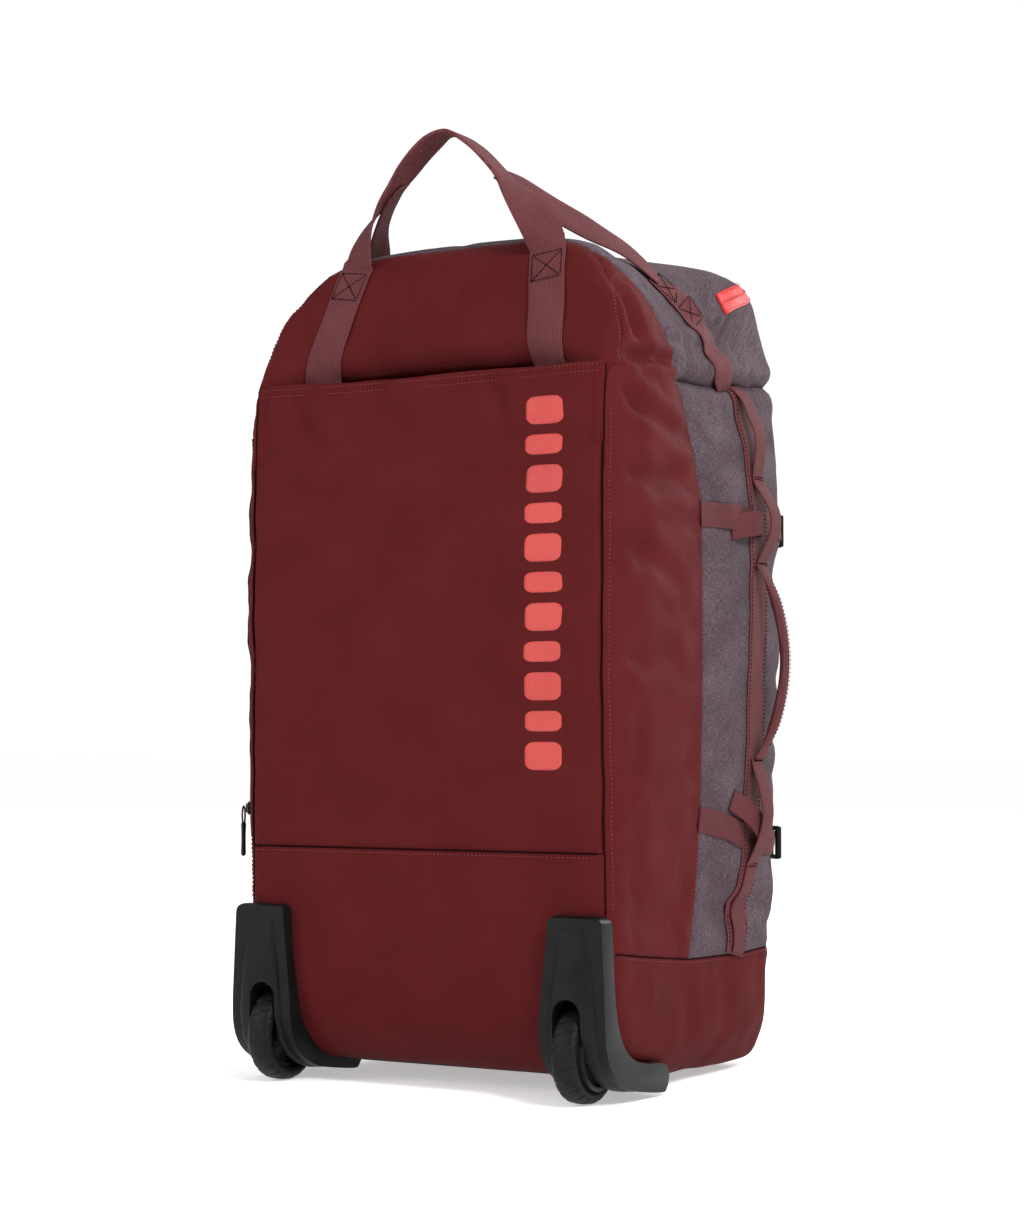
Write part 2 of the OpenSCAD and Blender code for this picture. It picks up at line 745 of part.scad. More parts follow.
module top_zip_slider() {
    color([0.12, 0.12, 0.12]) translate([-120, top_zip_y, top_zip_z]) rotate([30, 0, 0])
        translate([0, 0.5, 4.5]) rotate([0, 90, 0]) slider_block();
}

module top_zip_pull() {
    color([0.06, 0.06, 0.06]) translate([-120, top_zip_y + 14, top_zip_z - 1]) pull_tab();
}

// Zip on the left edge of the handle sleeve.
sleeve_zip_y = back_y + 20;

module sleeve_zip_tape() {
    color([0.1, 0.1, 0.1]) layer(-1.5, -0.3) for_side(-1)
        side_prism([[sleeve_zip_y - 8, 236], [sleeve_zip_y + 8, 236], [sleeve_zip_y + 8, 640], [sleeve_zip_y - 8, 640]]);
}

sleeve_slider_z = 264;

module sleeve_zip_slider() {
    color([0.12, 0.12, 0.12]) translate([-half_w, sleeve_zip_y - 4.5, sleeve_slider_z]) rotate([0, 0, 90])
        slider_block();
}

module sleeve_zip_pull() {
    color([0.06, 0.06, 0.06]) translate([-half_w - 10.8, sleeve_zip_y, sleeve_slider_z]) rotate([0, 0, 90]) pull_tab();
}

sleeve_panel();
lower_back_panel();
inner_back_wall();
yoke_panel();
right_red_gusset();
left_red_gusset();
right_grey_gusset();
left_grey_gusset();
top_panel();
base_boot();
back_board();
base_board();
front_feet();
right_wheel_housing();
left_wheel_housing();
housing_screws();
right_axle();
left_axle();
right_hub();
left_hub();
right_tyre();
left_tyre();
right_bearings();
left_bearings();
handle_foot_bracket();
handle_top_bracket();
right_outer_tube();
left_outer_tube();
middle_tubes();
middle_collars();
inner_tubes();
handle_grip();
release_button();
push_rods();
front_grab_strap();
rear_grab_strap();
right_side_band();
left_side_band();
right_daisy_loops();
left_daisy_loops();
right_haul_handle();
left_haul_handle();
right_compression_straps();
left_compression_straps();
right_ladder_buckles();
left_ladder_buckles();
lid_panel();
lid_zip_tape();
lid_mesh_pocket();
body_zip_tape();
right_zip_slider();
right_zip_pull();
left_zip_slider();
left_zip_pull();
top_zip_tape();
top_zip_slider();
top_zip_pull();
sleeve_zip_tape();
sleeve_zip_slider();
sleeve_zip_pull();
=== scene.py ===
# %% [markdown]
# # A rolling duffel bag, sewn together piece by piece
#
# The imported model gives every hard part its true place. Around it this script makes the soft bag
# the way a sewing room would: one stuffed skin, cut along its seams into panels, then webbing,
# zips, stitches and moulded plastic on top.

import math

import bmesh
import bpy
import numpy as np
from mathutils import Matrix, Vector, noise
from mathutils.bvhtree import BVHTree
from mathutils.kdtree import KDTree


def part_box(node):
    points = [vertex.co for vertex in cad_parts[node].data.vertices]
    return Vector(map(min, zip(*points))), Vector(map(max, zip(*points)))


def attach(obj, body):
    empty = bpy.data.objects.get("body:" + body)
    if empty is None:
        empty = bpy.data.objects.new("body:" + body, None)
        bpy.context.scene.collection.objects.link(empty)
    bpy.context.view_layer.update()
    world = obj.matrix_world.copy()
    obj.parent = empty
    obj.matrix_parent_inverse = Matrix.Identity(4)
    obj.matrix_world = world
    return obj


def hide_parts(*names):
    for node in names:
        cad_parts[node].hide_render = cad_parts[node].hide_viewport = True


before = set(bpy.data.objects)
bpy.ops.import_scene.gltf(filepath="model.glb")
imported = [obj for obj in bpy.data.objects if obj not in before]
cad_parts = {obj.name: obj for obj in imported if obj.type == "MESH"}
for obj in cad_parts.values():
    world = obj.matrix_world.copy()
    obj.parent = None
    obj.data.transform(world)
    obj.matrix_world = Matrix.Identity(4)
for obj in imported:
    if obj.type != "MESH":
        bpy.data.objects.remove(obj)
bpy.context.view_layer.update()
MM = 0.001

# %% [markdown]
# ## The camera
#
# A long lens from about two and a half metres keeps the uprights nearly parallel. The bag is
# turned so that its wheel side and its right side both show, and the camera stands low, at a
# third of the bag's height, and looks up a little.

# %% The camera
TURN = math.radians(30.0)
DISTANCE = 2.5
EYE_HEIGHT = 0.333
LENS = 72.5
TILT_UP = math.radians(2.87)

camera = bpy.data.objects.new("camera", bpy.data.cameras.new("camera"))
camera.data.lens = LENS
camera.location = (DISTANCE * math.sin(TURN), -DISTANCE * math.cos(TURN), EYE_HEIGHT)
camera.rotation_euler = (math.pi / 2 + TILT_UP, 0.0, TURN)
bpy.context.scene.collection.objects.link(camera)
bpy.context.scene.camera = camera

# %% [markdown]
# ## Small helpers for curves
#
# Most shapes start as a few points written down in millimetres. A smooth curve through them is
# easier to read and to change than a long list, so one helper draws the curve and another spaces
# its points evenly. The rest give soft steps and smooth noise.


# %% Curves through a few points
def smooth_line(points, steps=6, closed=False):
    """Points on the Catmull-Rom curve through the given points."""
    p = np.array(points, float)
    n = len(p)
    spans = n if closed else n - 1
    out = []
    for k in range(spans):
        idx = [(k + j) % n if closed else min(max(k + j, 0), n - 1) for j in (-1, 0, 1, 2)]
        a, b, c, d = p[idx]
        for i in range(steps):
            u = i / steps
            out.append(0.5 * (2 * b + (c - a) * u + (2 * a - 5 * b + 4 * c - d) * u**2
                              + (3 * b - a - 3 * c + d) * u**3))
    if not closed:
        out.append(p[-1])
    return np.array(out)


def run_length(p):
    """The distance along a line, from its start to each point."""
    return np.concatenate([[0], np.cumsum(np.linalg.norm(np.diff(p, axis=0), axis=1))])


def even_line(points, spacing):
    """The same line with points at an even spacing."""
    p = np.asarray(points, float)
    run = run_length(p)
    count = max(2, int(round(run[-1] / spacing)) + 1)
    at = np.linspace(0, run[-1], count)
    return np.stack([np.interp(at, run, p[:, i]) for i in range(p.shape[1])], axis=1)


def calm(values, rounds):
    """Even out a line between its fixed ends."""
    for _ in range(rounds):
        values[1:-1] = (values[:-2] + 2 * values[1:-1] + values[2:]) / 4


def ease(x, low, high):
    """0 below low, 1 above high, and a soft step between them."""
    t = np.clip((np.asarray(x, float) - low) / (high - low), 0, 1)
    return t * t * (3 - 2 * t)


def noise_at(points, size, seed=0.0):
    """Smooth noise between about -1 and 1 at each point, with bumps of the given size in millimetres."""
    size = np.broadcast_to(np.array(size, float), 3)
    return np.array([noise.noise(Vector((p[0] / size[0] + seed, p[1] / size[1] - seed,
                                         p[2] / size[2] + 2 * seed)))
                     for p in points])


def tree_of(points):
    """A search tree that finds the nearest of the points."""
    tree = KDTree(len(points))
    for i, p in enumerate(points):
        tree.insert(p, i)
    tree.balance()
    return tree


SIDES = ((1, "right"), (-1, "left"))

# %% [markdown]
# ## Materials
#
# Every finish is made of nodes. Woven finishes read a UV map laid out in millimetres of cloth, so
# a thread is as wide on a strap as it is on a panel. The helper below wires a weave: it mixes a
# few shades of one colour with noise, and drives the bump from the same pattern that darkens the
# gaps between the threads.


# %% Material helpers
class Finish:
    """One material and its node tree, with short calls to add and join nodes."""

    def __init__(self, name, roughness, **sockets):
        self.material = bpy.data.materials.new(name)
        self.material.use_nodes = True
        self.tree = self.material.node_tree
        self.shader = self.tree.nodes["Principled BSDF"]
        self.shader.inputs["Roughness"].default_value = roughness
        for socket, value in sockets.items():
            self.shader.inputs[socket.replace("_", " ")].default_value = value

    def add(self, kind, **values):
        node = self.tree.nodes.new(kind)
        for key, value in values.items():
            if key in node.inputs.keys():
                node.inputs[key].default_value = value
            else:
                setattr(node, key, value)
        return node

    def join(self, out_socket, in_socket):
        self.tree.links.new(out_socket, in_socket)

    def math(self, operation, a, b=0.0):
        node = self.add("ShaderNodeMath", operation=operation)
        for socket, value in zip(node.inputs, (a, b)):
            if isinstance(value, (int, float)):
                socket.default_value = value
            else:
                self.join(value, socket)
        return node.outputs[0]

    def place(self, space="UV", scale=(1, 1, 1), turn=0.0):
        """Coordinates: cloth millimetres from the UV map, or the object's own."""
        coords = self.add("ShaderNodeTexCoord")
        mapping = self.add("ShaderNodeMapping")
        mapping.inputs["Scale"].default_value = scale
        mapping.inputs["Rotation"].default_value = (0, 0, turn)
        self.join(coords.outputs[space], mapping.inputs["Vector"])
        return mapping.outputs["Vector"]

    def grain(self, vector, scale, detail=2.0, rough=0.5):
        node = self.add("ShaderNodeTexNoise", Scale=scale, Detail=detail, Roughness=rough)
        self.join(vector, node.inputs["Vector"])
        return node.outputs["Fac"]

    def lines(self, vector, scale, distortion=0.0, direction="X"):
        node = self.add("ShaderNodeTexWave", Scale=scale, Distortion=distortion, Detail=1.0)
        node.bands_direction = direction
        node.wave_profile = "SIN"
        self.join(vector, node.inputs["Vector"])
        return node.outputs["Fac"]

    def shades(self, fac, stops):
        ramp = self.add("ShaderNodeValToRGB")
        while len(ramp.color_ramp.elements) < len(stops):
            ramp.color_ramp.elements.new(0.5)
        for element, (at, colour) in zip(ramp.color_ramp.elements, stops):
            element.position = at
            element.color = (*colour, 1)
        self.join(fac, ramp.inputs["Fac"])
        return ramp.outputs["Color"]

    def colour(self, socket):
        self.join(socket, self.shader.inputs["Base Color"])

    def bump(self, height, distance, strength=1.0):
        node = self.add("ShaderNodeBump", Strength=strength, Distance=distance)
        self.join(height, node.inputs["Height"])
        self.join(node.outputs["Normal"], self.shader.inputs["Normal"])

    def roughness(self, fac, low, high):
        node = self.add("ShaderNodeMapRange")
        node.inputs["To Min"].default_value = low
        node.inputs["To Max"].default_value = high
        self.join(fac, node.inputs["Value"])
        self.join(node.outputs["Result"], self.shader.inputs["Roughness"])


WAVE = 0.314          # a wave texture of this scale has one line each 10 units, over 10
print("helpers ready")

# %% [markdown]
# ### Red body cloth
#
# The shell is a heavy nylon twill. Its threads cross at a slant, which shows as fine diagonal
# lines. Where the rows cross, the colour rises to a paler, pinker shade: a painted highlight for
# the glint of the nylon. Two crossed wave textures give the slanted rows, a fine noise breaks them
# up, and a slow noise gives the cloudy tone of dyed cloth.


# %% Red body cloth
def twill(name, dark, mid, light, roughness=0.62, thread=1.5):
    f = Finish(name, roughness, Specular_IOR_Level=0.02)
    one = f.lines(f.place(turn=math.radians(50)), WAVE / thread, distortion=0.5)
    other = f.lines(f.place(turn=math.radians(-40)), WAVE / thread, distortion=0.5)
    weave = f.math("POWER", f.math("MULTIPLY", one, other), 0.8)
    fine = f.grain(f.place(), 1.3, 3.0)
    cloud = f.grain(f.place(scale=(0.01, 0.01, 0.01)), 1.6, 3.0)
    tone = f.math("ADD", f.math("MULTIPLY", weave, 0.58), f.math("MULTIPLY", fine, 0.34))
    tone = f.math("ADD", tone, f.math("MULTIPLY", cloud, 0.16))
    # The top stop, reached where the rows cross, is a painted highlight for the glint of the nylon.
    f.colour(f.shades(tone, [(0.21, dark), (0.44, mid), (0.86, light)]))
    f.roughness(fine, roughness - 0.08, roughness + 0.12)
    f.bump(f.math("ADD", weave, f.math("MULTIPLY", fine, 0.5)), 0.00028, 0.75)
    return f.material


red_cloth = twill("red_cloth", (0.032, 0.0036, 0.0038), (0.072, 0.0076, 0.0080), (0.158, 0.025, 0.027))
# A paler copy of the twill for the side panels: its paler tone is painted light, the sides being lit more than the
# back. Its weave is also a little coarser.
red_side_cloth = twill("red_side_cloth", (0.032, 0.0036, 0.004), (0.075, 0.0080, 0.0086),
                       (0.185, 0.032, 0.036),
                       thread=1.9)
print("red cloth in two tones")

# %% [markdown]
# ### Grey mixture cloth
#
# The grey cloth is woven from dark and pale yarns, so close up it is a mixture of streaks in two
# directions, with a purple cast, and its tone drifts in slow clouds. Noise stretched along each
# thread direction makes the streaks.


# %% Grey mixture cloth
def mixture_cloth(name, dark, mid, light):
    f = Finish(name, 0.78, Specular_IOR_Level=0.05)
    weft = f.grain(f.place(scale=(0.16, 1.3, 1)), 1.0, 3.0, 0.6)
    warp = f.grain(f.place(scale=(1.3, 0.2, 1)), 1.0, 3.0, 0.6)
    cloud = f.grain(f.place(scale=(0.012, 0.02, 0.01)), 1.0, 4.0, 0.6)
    tone = f.math("ADD", f.math("MULTIPLY", weft, 0.42), f.math("MULTIPLY", warp, 0.3))
    tone = f.math("ADD", tone, f.math("MULTIPLY", cloud, 0.22))
    f.colour(f.shades(tone, [(0.30, dark), (0.47, mid), (0.68, light)]))
    f.bump(f.math("ADD", weft, warp), 0.00025, 0.7)
    return f.material


grey_cloth = mixture_cloth("grey_cloth", (0.020, 0.0125, 0.0150), (0.062, 0.043, 0.051),
                           (0.175, 0.136, 0.157))
print("grey mixture cloth")

# %% [markdown]
# ### Webbing, tapes and lining
#
# Webbing has strong ribs along its length with small cross threads between them. The zip tapes
# are the same cloth, only finer. The lining is a thin plain weave.


# %% Webbing, tapes and lining
def ribbed(name, dark, mid, light, rib=2.2, pick=1.1, depth=0.0005, roughness=0.66):
    """The strap's UV runs across it in U and along it in V, in millimetres."""
    f = Finish(name, roughness, Specular_IOR_Level=0.06)
    ribs = f.lines(f.place(), WAVE / rib)
    picks = f.lines(f.place(), WAVE / pick, distortion=1.2, direction="Y")
    fine = f.grain(f.place(scale=(1.0, 0.5, 1)), 0.9, 3.0)
    cloud = f.grain(f.place(scale=(0.03, 0.02, 1)), 1.0, 2.0)
    weave = f.math("ADD", f.math("MULTIPLY", ribs, 0.6), f.math("MULTIPLY", picks, 0.4))
    tone = f.math("ADD", f.math("MULTIPLY", weave, 0.4), f.math("MULTIPLY", fine, 0.32))
    tone = f.math("ADD", tone, f.math("MULTIPLY", cloud, 0.28))
    f.colour(f.shades(tone, [(0.2, dark), (0.5, mid), (0.85, light)]))
    f.bump(weave, depth, 0.8)
    return f.material


webbing = ribbed("webbing", (0.042, 0.010, 0.011), (0.098, 0.027, 0.030), (0.165, 0.058, 0.063))
slim_webbing = ribbed("slim_webbing", (0.038, 0.009, 0.010), (0.088, 0.024, 0.027), (0.150, 0.052, 0.056),
                      rib=1.7)
zip_tape = ribbed("zip_tape", (0.008, 0.008, 0.009), (0.018, 0.018, 0.019), (0.04, 0.04, 0.042), 1.2, 0.9,
                  0.0003)
lining = ribbed("lining", (0.035, 0.035, 0.038), (0.075, 0.075, 0.08), (0.14, 0.14, 0.145), 1.3, 1.3,
                0.0002, 0.7)
print("webbing and tapes")

# %% Coated zip, thread and print
coral_zip = ribbed("coral_zip", (0.30, 0.010, 0.010), (0.50, 0.022, 0.022), (0.62, 0.05, 0.045), 1.6, 1.4,
                   0.0002, 0.38)


def plain_finish(name, colours, roughness, scale, distance, **sockets):
    """A finish with speckled tone and a fine bump, placed by the object's own coordinates."""
    f = Finish(name, roughness, **sockets)
    speck = f.grain(f.place("Object"), scale, 4.0, 0.6)
    slow = f.grain(f.place("Object"), scale * 0.03, 2.0)
    tone = f.math("ADD", f.math("MULTIPLY", speck, 0.6), f.math("MULTIPLY", slow, 0.4))
    f.colour(f.shades(tone, [(0.35, colours[0]), (0.65, colours[1])]))
    f.roughness(slow, roughness - 0.07, roughness + 0.07)
    f.bump(speck, distance, 0.5)
    return f.material


thread_red = plain_finish("thread_red", [(0.10, 0.012, 0.013), (0.21, 0.03, 0.032)], 0.6, 900, 0.0001)
# Near-black thread for the dark stitches; the same finish on the seam cords is painted shade.
dark_thread_and_seam_shade = plain_finish("dark_thread_and_seam_shade", [(0.008, 0.002, 0.0023), (0.018, 0.004, 0.0045)], 0.9, 900, 0.0001,
                           Specular_IOR_Level=0.0)
coral_print = plain_finish("coral_print", [(0.37, 0.044, 0.040), (0.44, 0.062, 0.055)], 0.5, 500, 0.00006,
                           Specular_IOR_Level=0.15)
print("coral, thread and print")

# %% [markdown]
# ### Moulded and metal parts
#
# The housings are a dark nylon with a spark-eroded grain that scatters light. The tyres are
# softer and dustier, and the tubes are anodised with fine lines drawn along them.

# %% Moulded and metal parts
black_plastic = plain_finish("black_plastic", [(0.003, 0.003, 0.0032), (0.0075, 0.0075, 0.0078)], 0.42,
                             1400, 0.00008,
                              Specular_IOR_Level=0.12)
dark_plastic = plain_finish("dark_plastic", [(0.006, 0.006, 0.0065), (0.013, 0.013, 0.0135)], 0.36, 1500,
                            0.00005,
                            Specular_IOR_Level=0.25)
tyre_rubber = plain_finish("tyre_rubber", [(0.0015, 0.0015, 0.0015), (0.007, 0.0068, 0.0066)], 0.5, 240,
                           0.0003,
                            Specular_IOR_Level=0.14)
grey_plastic = plain_finish("grey_plastic", [(0.07, 0.07, 0.072), (0.1, 0.1, 0.102)], 0.42, 1300, 0.00006)
stiff_board = plain_finish("stiff_board", [(0.014, 0.014, 0.015), (0.03, 0.03, 0.03)], 0.6, 300, 0.0002)


def drawn_metal(name, dark, light, roughness):
    f = Finish(name, roughness, Metallic=1.0)
    streak = f.grain(f.place("Object", scale=(900, 900, 6)), 1.0, 3.0)
    f.colour(f.shades(streak, [(0.3, dark), (0.7, light)]))
    f.roughness(streak, roughness - 0.08, roughness + 0.12)
    f.bump(streak, 0.00003, 0.5)
    return f.material


tube_metal = drawn_metal("tube_metal", (0.36, 0.36, 0.38), (0.55, 0.55, 0.57), 0.32)
steel = drawn_metal("steel", (0.42, 0.42, 0.43), (0.62, 0.62, 0.63), 0.3)
slider_metal = drawn_metal("slider_metal", (0.035, 0.035, 0.037), (0.07, 0.07, 0.073), 0.4)
print(len(bpy.data.materials), "materials")

# %% [markdown]
# ## The stuffed skin
#
# A full bag is a rounded box whose faces bulge. Seen from the side and from the front it has two
# clear outlines. Here each outline is a curve, the distance to both is measured, and a soft
# maximum of the two distances rounds the edges where they meet: widely up the sides, tightly
# round the top and at the lower front corners. A fine box grid is then pulled onto that surface
# from the middle of the bag.

# %% Outlines of the stuffed bag
SIDE_VIEW = [  # (y, z)
    (-172, 66), (-176.5, 110), (-177, 250), (-177, 450), (-176, 600), (-175, 652), (-171, 680), (-160, 700),
    (-149, 720), (-142, 738), (-128, 778), (-117, 803), (-100, 817), (-66, 829), (-20, 838), (34, 841),
    (92, 838),
    (136, 832), (168, 822), (188, 805), (197, 776), (199, 722), (196, 701), (199, 676), (201, 600),
    (203, 450),
    (199, 300), (192, 170), (188, 126), (187, 84), (184, 44), (180, 16), (172, 4), (150, 1), (60, 1),
    (0, 3), (-45, 6),
    (-90, 10), (-128, 22), (-155, 42),
]
FRONT_VIEW = [  # (half width, z)
    (0, 2), (60, 2), (125, 1), (168, 1), (182, 3), (192, 14), (200, 42), (205, 86), (206, 126), (207, 200),
    (211, 330),
    (212.5, 470), (210.5, 600), (206, 668), (202, 690), (201, 712), (193, 742), (180, 768), (163, 791),
    (140, 809),
    (112, 821), (80, 830), (40, 837), (0, 839),
]
side_curve = smooth_line(SIDE_VIEW, 3, closed=True)
CROWN_VIEW = [  # the squarer outline of the bag's front half
    *FRONT_VIEW[:14], (203, 690), (203, 716), (199, 744), (193, 772), (186, 796), (174, 812), (150, 822),
    (112, 830),
    (70, 837), (40, 840), (0, 841),
]


def both_sides(half):
    half = smooth_line(half, 3)
    return np.concatenate([half, (half * (-1, 1))[-2:0:-1]])


front_curve, crown_curve = both_sides(FRONT_VIEW), both_sides(CROWN_VIEW)


def outline_distance(points, outline):
    """Signed distance of 2D points to a closed outline, negative inside."""
    a, b = outline, np.roll(outline, -1, axis=0)
    edge = b - a
    rel = points[:, None, :] - a[None]
    t = np.clip((rel * edge).sum(2) / (edge * edge).sum(1), 0, 1)
    gap = rel - t[:, :, None] * edge
    dist = np.sqrt((gap * gap).sum(2).min(1))
    crosses = (a[:, 1] > points[:, 1:2]) != (b[:, 1] > points[:, 1:2])
    x_at = a[:, 0] + (points[:, 1:2] - a[:, 1]) * edge[:, 0] / np.where(edge[:, 1] == 0, 1e-9, edge[:, 1])
    inside = (crosses & (points[:, 0:1] < x_at)).sum(1) % 2 == 1
    return np.where(inside, -dist, dist)


def skin_distance(p):
    """Signed distance to the stuffed skin, for points in millimetres."""
    x, y, z = p.T
    pocket = 29 * ease(z, 560, 612) * (1 - ease(np.abs(x), 120, 172)) * (1 - ease(z, 668, 716))
    pocket += 4.5 * np.exp(-((np.abs(x) - 75) / 17) ** 2 - ((z - 706) / 13) ** 2)  # room for the tubes
    side = outline_distance(np.stack([y - pocket * (y < 0), z], 1), side_curve)
    across = np.stack([x, z], 1)
    front = outline_distance(across, front_curve)
    ahead = y > 10
    if ahead.any():
        share = ease(y[ahead], 10, 120)
        front[ahead] += share * (outline_distance(across[ahead], crown_curve) - front[ahead])
    soft = np.full(len(p), 34.0)
    soft = soft + (18 - soft) * ease(z, 640, 712)
    soft = soft - 16 * (1 - ease(z, 15, 110)) * ease(y, 30, 120)
    h = np.clip(soft - np.abs(side - front), 0, None) / soft
    return np.maximum(side, front) + h * h * soft / 4


print("side outline", len(side_curve), "points, front outline", len(front_curve))


# %% A box grid pulled onto the skin
def box_grid(nx, ny, nz):
    """Points on a box from -1 to 1 and its quads, all facing out."""
    index, points, quads = {}, [], []

    def vertex(i, j, k):
        if (i, j, k) not in index:
            index[i, j, k] = len(points)
            points.append((2 * i / nx - 1, 2 * j / ny - 1, 2 * k / nz - 1))
        return index[i, j, k]

    def face(fixed, n1, n2, flip):
        for a in range(n1):
            for b in range(n2):
                q = [vertex(*fixed(a, b)), vertex(*fixed(a + 1, b)), vertex(*fixed(a + 1, b + 1)),
                     vertex(*fixed(a, b + 1))]
                quads.append(q[::-1] if flip else q)

    face(lambda a, b: (a, 0, b), nx, nz, False)
    face(lambda a, b: (a, ny, b), nx, nz, True)
    face(lambda a, b: (0, a, b), ny, nz, True)
    face(lambda a, b: (nx, a, b), ny, nz, False)
    face(lambda a, b: (a, b, 0), nx, ny, True)
    face(lambda a, b: (a, b, nz), nx, ny, False)
    return np.array(points), np.array(quads)


GRID = 10.5
BAG_HALF = np.array([212.0, 190.0, 416.0])
BAG_MIDDLE = np.array([0.0, 12.0, 418.0])
counts = [int(2 * h / GRID / 2) * 2 for h in BAG_HALF]
unit_points, skin_quads = box_grid(*counts)
rays = unit_points * BAG_HALF
near, beyond = np.full(len(rays), 0.3), np.full(len(rays), 1.25)
for _ in range(17):
    middle = (near + beyond) / 2
    outside = skin_distance(BAG_MIDDLE + rays * middle[:, None]) > 0
    beyond = np.where(outside, middle, beyond)
    near = np.where(outside, near, middle)
coarse_skin = BAG_MIDDLE + rays * near[:, None]
print("skin grid", counts, len(coarse_skin), "points")

# %% [markdown]
# ## Seams
#
# A seam is written as a function that is negative on one side, positive on the other and zero
# along the stitching. The same functions serve three times: to pin the cloth in the simulation,
# to cut the skin into panels, and to sink the fabric along the seams.


# %% Where the seams run
def along(z, pairs):
    return np.interp(z, [p[0] for p in pairs], [p[1] for p in pairs])


BACK_EDGE = [(0, -60), (75, -75), (98, -160), (640, -160), (686, -147), (730, -137), (780, -120), (802, -111),
             (815, -104), (835, -98)]
BACK_WIDTH = [(0, 196), (650, 195), (676, 198), (690, 240)]
RED_GREY = [(100, -22), (127, -17), (183, -2), (225, 2), (300, 4), (565, 4), (600, -8), (637, -21),
            (665, -35),
            (690, -44), (721, -51), (753, -68), (766, -78), (786, -102), (803, -122), (812, -136)]
BOOT_TOP = [(-170, 138), (-100, 130), (-17, 122), (100, 119), (160, 121), (190, 124)]
CREASE = [(-170, 676), (30, 681), (100, 689), (160, 695), (195, 699)]
SLEEVE_LOW = 228.0
POCKET_FLOOR = 606.0
LID_X, LID_LOW, LID_TOP = 165.2, 130.0, 700.0


def back_side(p):
    return np.maximum(np.abs(p[:, 0]) - along(p[:, 2], BACK_WIDTH), p[:, 1] - along(p[:, 2], BACK_EDGE))


def red_side(p):
    return p[:, 1] - along(p[:, 2], RED_GREY)


def boot_side(p):
    return p[:, 2] - np.interp(p[:, 1], *zip(*BOOT_TOP))


def crease_side(p):
    return p[:, 2] - np.interp(p[:, 1], *zip(*CREASE))


def lid_side(p):
    corner = np.stack([np.abs(p[:, 0]) - (LID_X - 20), p[:, 2] - (LID_TOP - 20)], 1)
    rounded = np.hypot(*np.clip(corner, 0, None).T) - 20 + np.minimum(corner.max(1), 0)
    return np.maximum(rounded, LID_LOW - p[:, 2])


def panel_of(p):
    """The name of the panel that each point belongs to."""
    name = np.full(len(p), "crown", dtype="U12")
    low = crease_side(p) < 0
    side = np.where(p[:, 0] > 0, "right", "left")
    name = np.where(low, np.char.add(side, "_grey"), name)
    name = np.where(red_side(p) < 0, np.char.add(side, "_red"), name)
    name = np.where(boot_side(p) < 0, "boot", name)
    name = np.where((lid_side(p) < 0) & (p[:, 1] > 120), "lid", name)
    back = back_side(p) < 0
    name = np.where(back, "yoke", name)
    name = np.where(back & (p[:, 2] < POCKET_FLOOR), "under_sleeve", name)
    return np.where(back & (p[:, 2] < SLEEVE_LOW), "lower_back", name)


# Each cut: its function, and where it counts.
CUTS = [
    (back_side, lambda p: p[:, 1] < -40),
    (red_side, lambda p: (p[:, 2] > 90) & (back_side(p) > -12)),
    (boot_side, lambda p: (back_side(p) > -12)),
    (crease_side, lambda p: (red_side(p) > -12) & (p[:, 2] > 600)),
    (lid_side, lambda p: p[:, 1] > 130),
    (lambda p: p[:, 2] - SLEEVE_LOW, lambda p: back_side(p) < 12),
    (lambda p: p[:, 2] - POCKET_FLOOR, lambda p: back_side(p) < 12),
]
print(len(CUTS), "cuts")

# %% [markdown]
# ## Stuffing the bag
#
# Cloth shows that it is full by the small folds between its seams. The skin is made a little too
# large for its frame, pinned where it is sewn, and blown up from inside for a few frames, so that
# it buckles as real fabric does. How far a point may move is limited, so the bag keeps its size.


# %% Stuffing the skin with a cloth simulation
def seam_grip(p):
    """1 on a seam and 0 a few centimetres away from any."""
    grip = np.zeros(len(p))
    for cut, where in CUTS[:5]:
        grip = np.maximum(grip, np.where(where(p), 1 - ease(np.abs(cut(p)), 6, 26), 0))
    flat = (back_side(p) < 0) | (p[:, 2] < 30)
    return np.where(flat, 1, grip)


def stuffed(points, quads, frames=26, slack=0.035, pressure=3.4, limit=7.0):
    mesh = bpy.data.meshes.new("stuffing")
    mesh.from_pydata((points * MM).tolist(), [], quads.tolist())
    work = bpy.data.objects.new("stuffing", mesh)
    bpy.context.scene.collection.objects.link(work)
    group = work.vertex_groups.new(name="sewn")
    for i, g in enumerate(seam_grip(points)):
        group.add([i], float(g), "REPLACE")
    cloth = work.modifiers.new("cloth", "CLOTH").settings
    cloth.quality = 6
    cloth.mass = 0.35
    cloth.tension_stiffness = cloth.compression_stiffness = 22
    cloth.shear_stiffness = 9
    cloth.bending_stiffness = 1.6
    cloth.use_pressure = True
    cloth.uniform_pressure_force = pressure
    cloth.shrink_min = -slack
    cloth.vertex_group_mass = "sewn"
    cloth.pin_stiffness = 2.0
    cloth.effector_weights.gravity = 0.4
    scene = bpy.context.scene
    for f in range(1, frames + 1):
        scene.frame_set(f)
    moved = work.evaluated_get(bpy.context.evaluated_depsgraph_get()).to_mesh()
    out = np.zeros(len(points) * 3)
    moved.vertices.foreach_get("co", out)
    scene.frame_set(1)
    bpy.data.objects.remove(work)
    shift = out.reshape(-1, 3) / MM - points
    length = np.linalg.norm(shift, axis=1, keepdims=True)
    return points + shift * np.minimum(1, limit / np.maximum(length, 1e-6)), length


full_skin, travel = stuffed(coarse_skin, skin_quads)
print("cloth moved by up to", round(float(travel.max()), 1), "mm, mean", round(float(travel.mean()), 2))


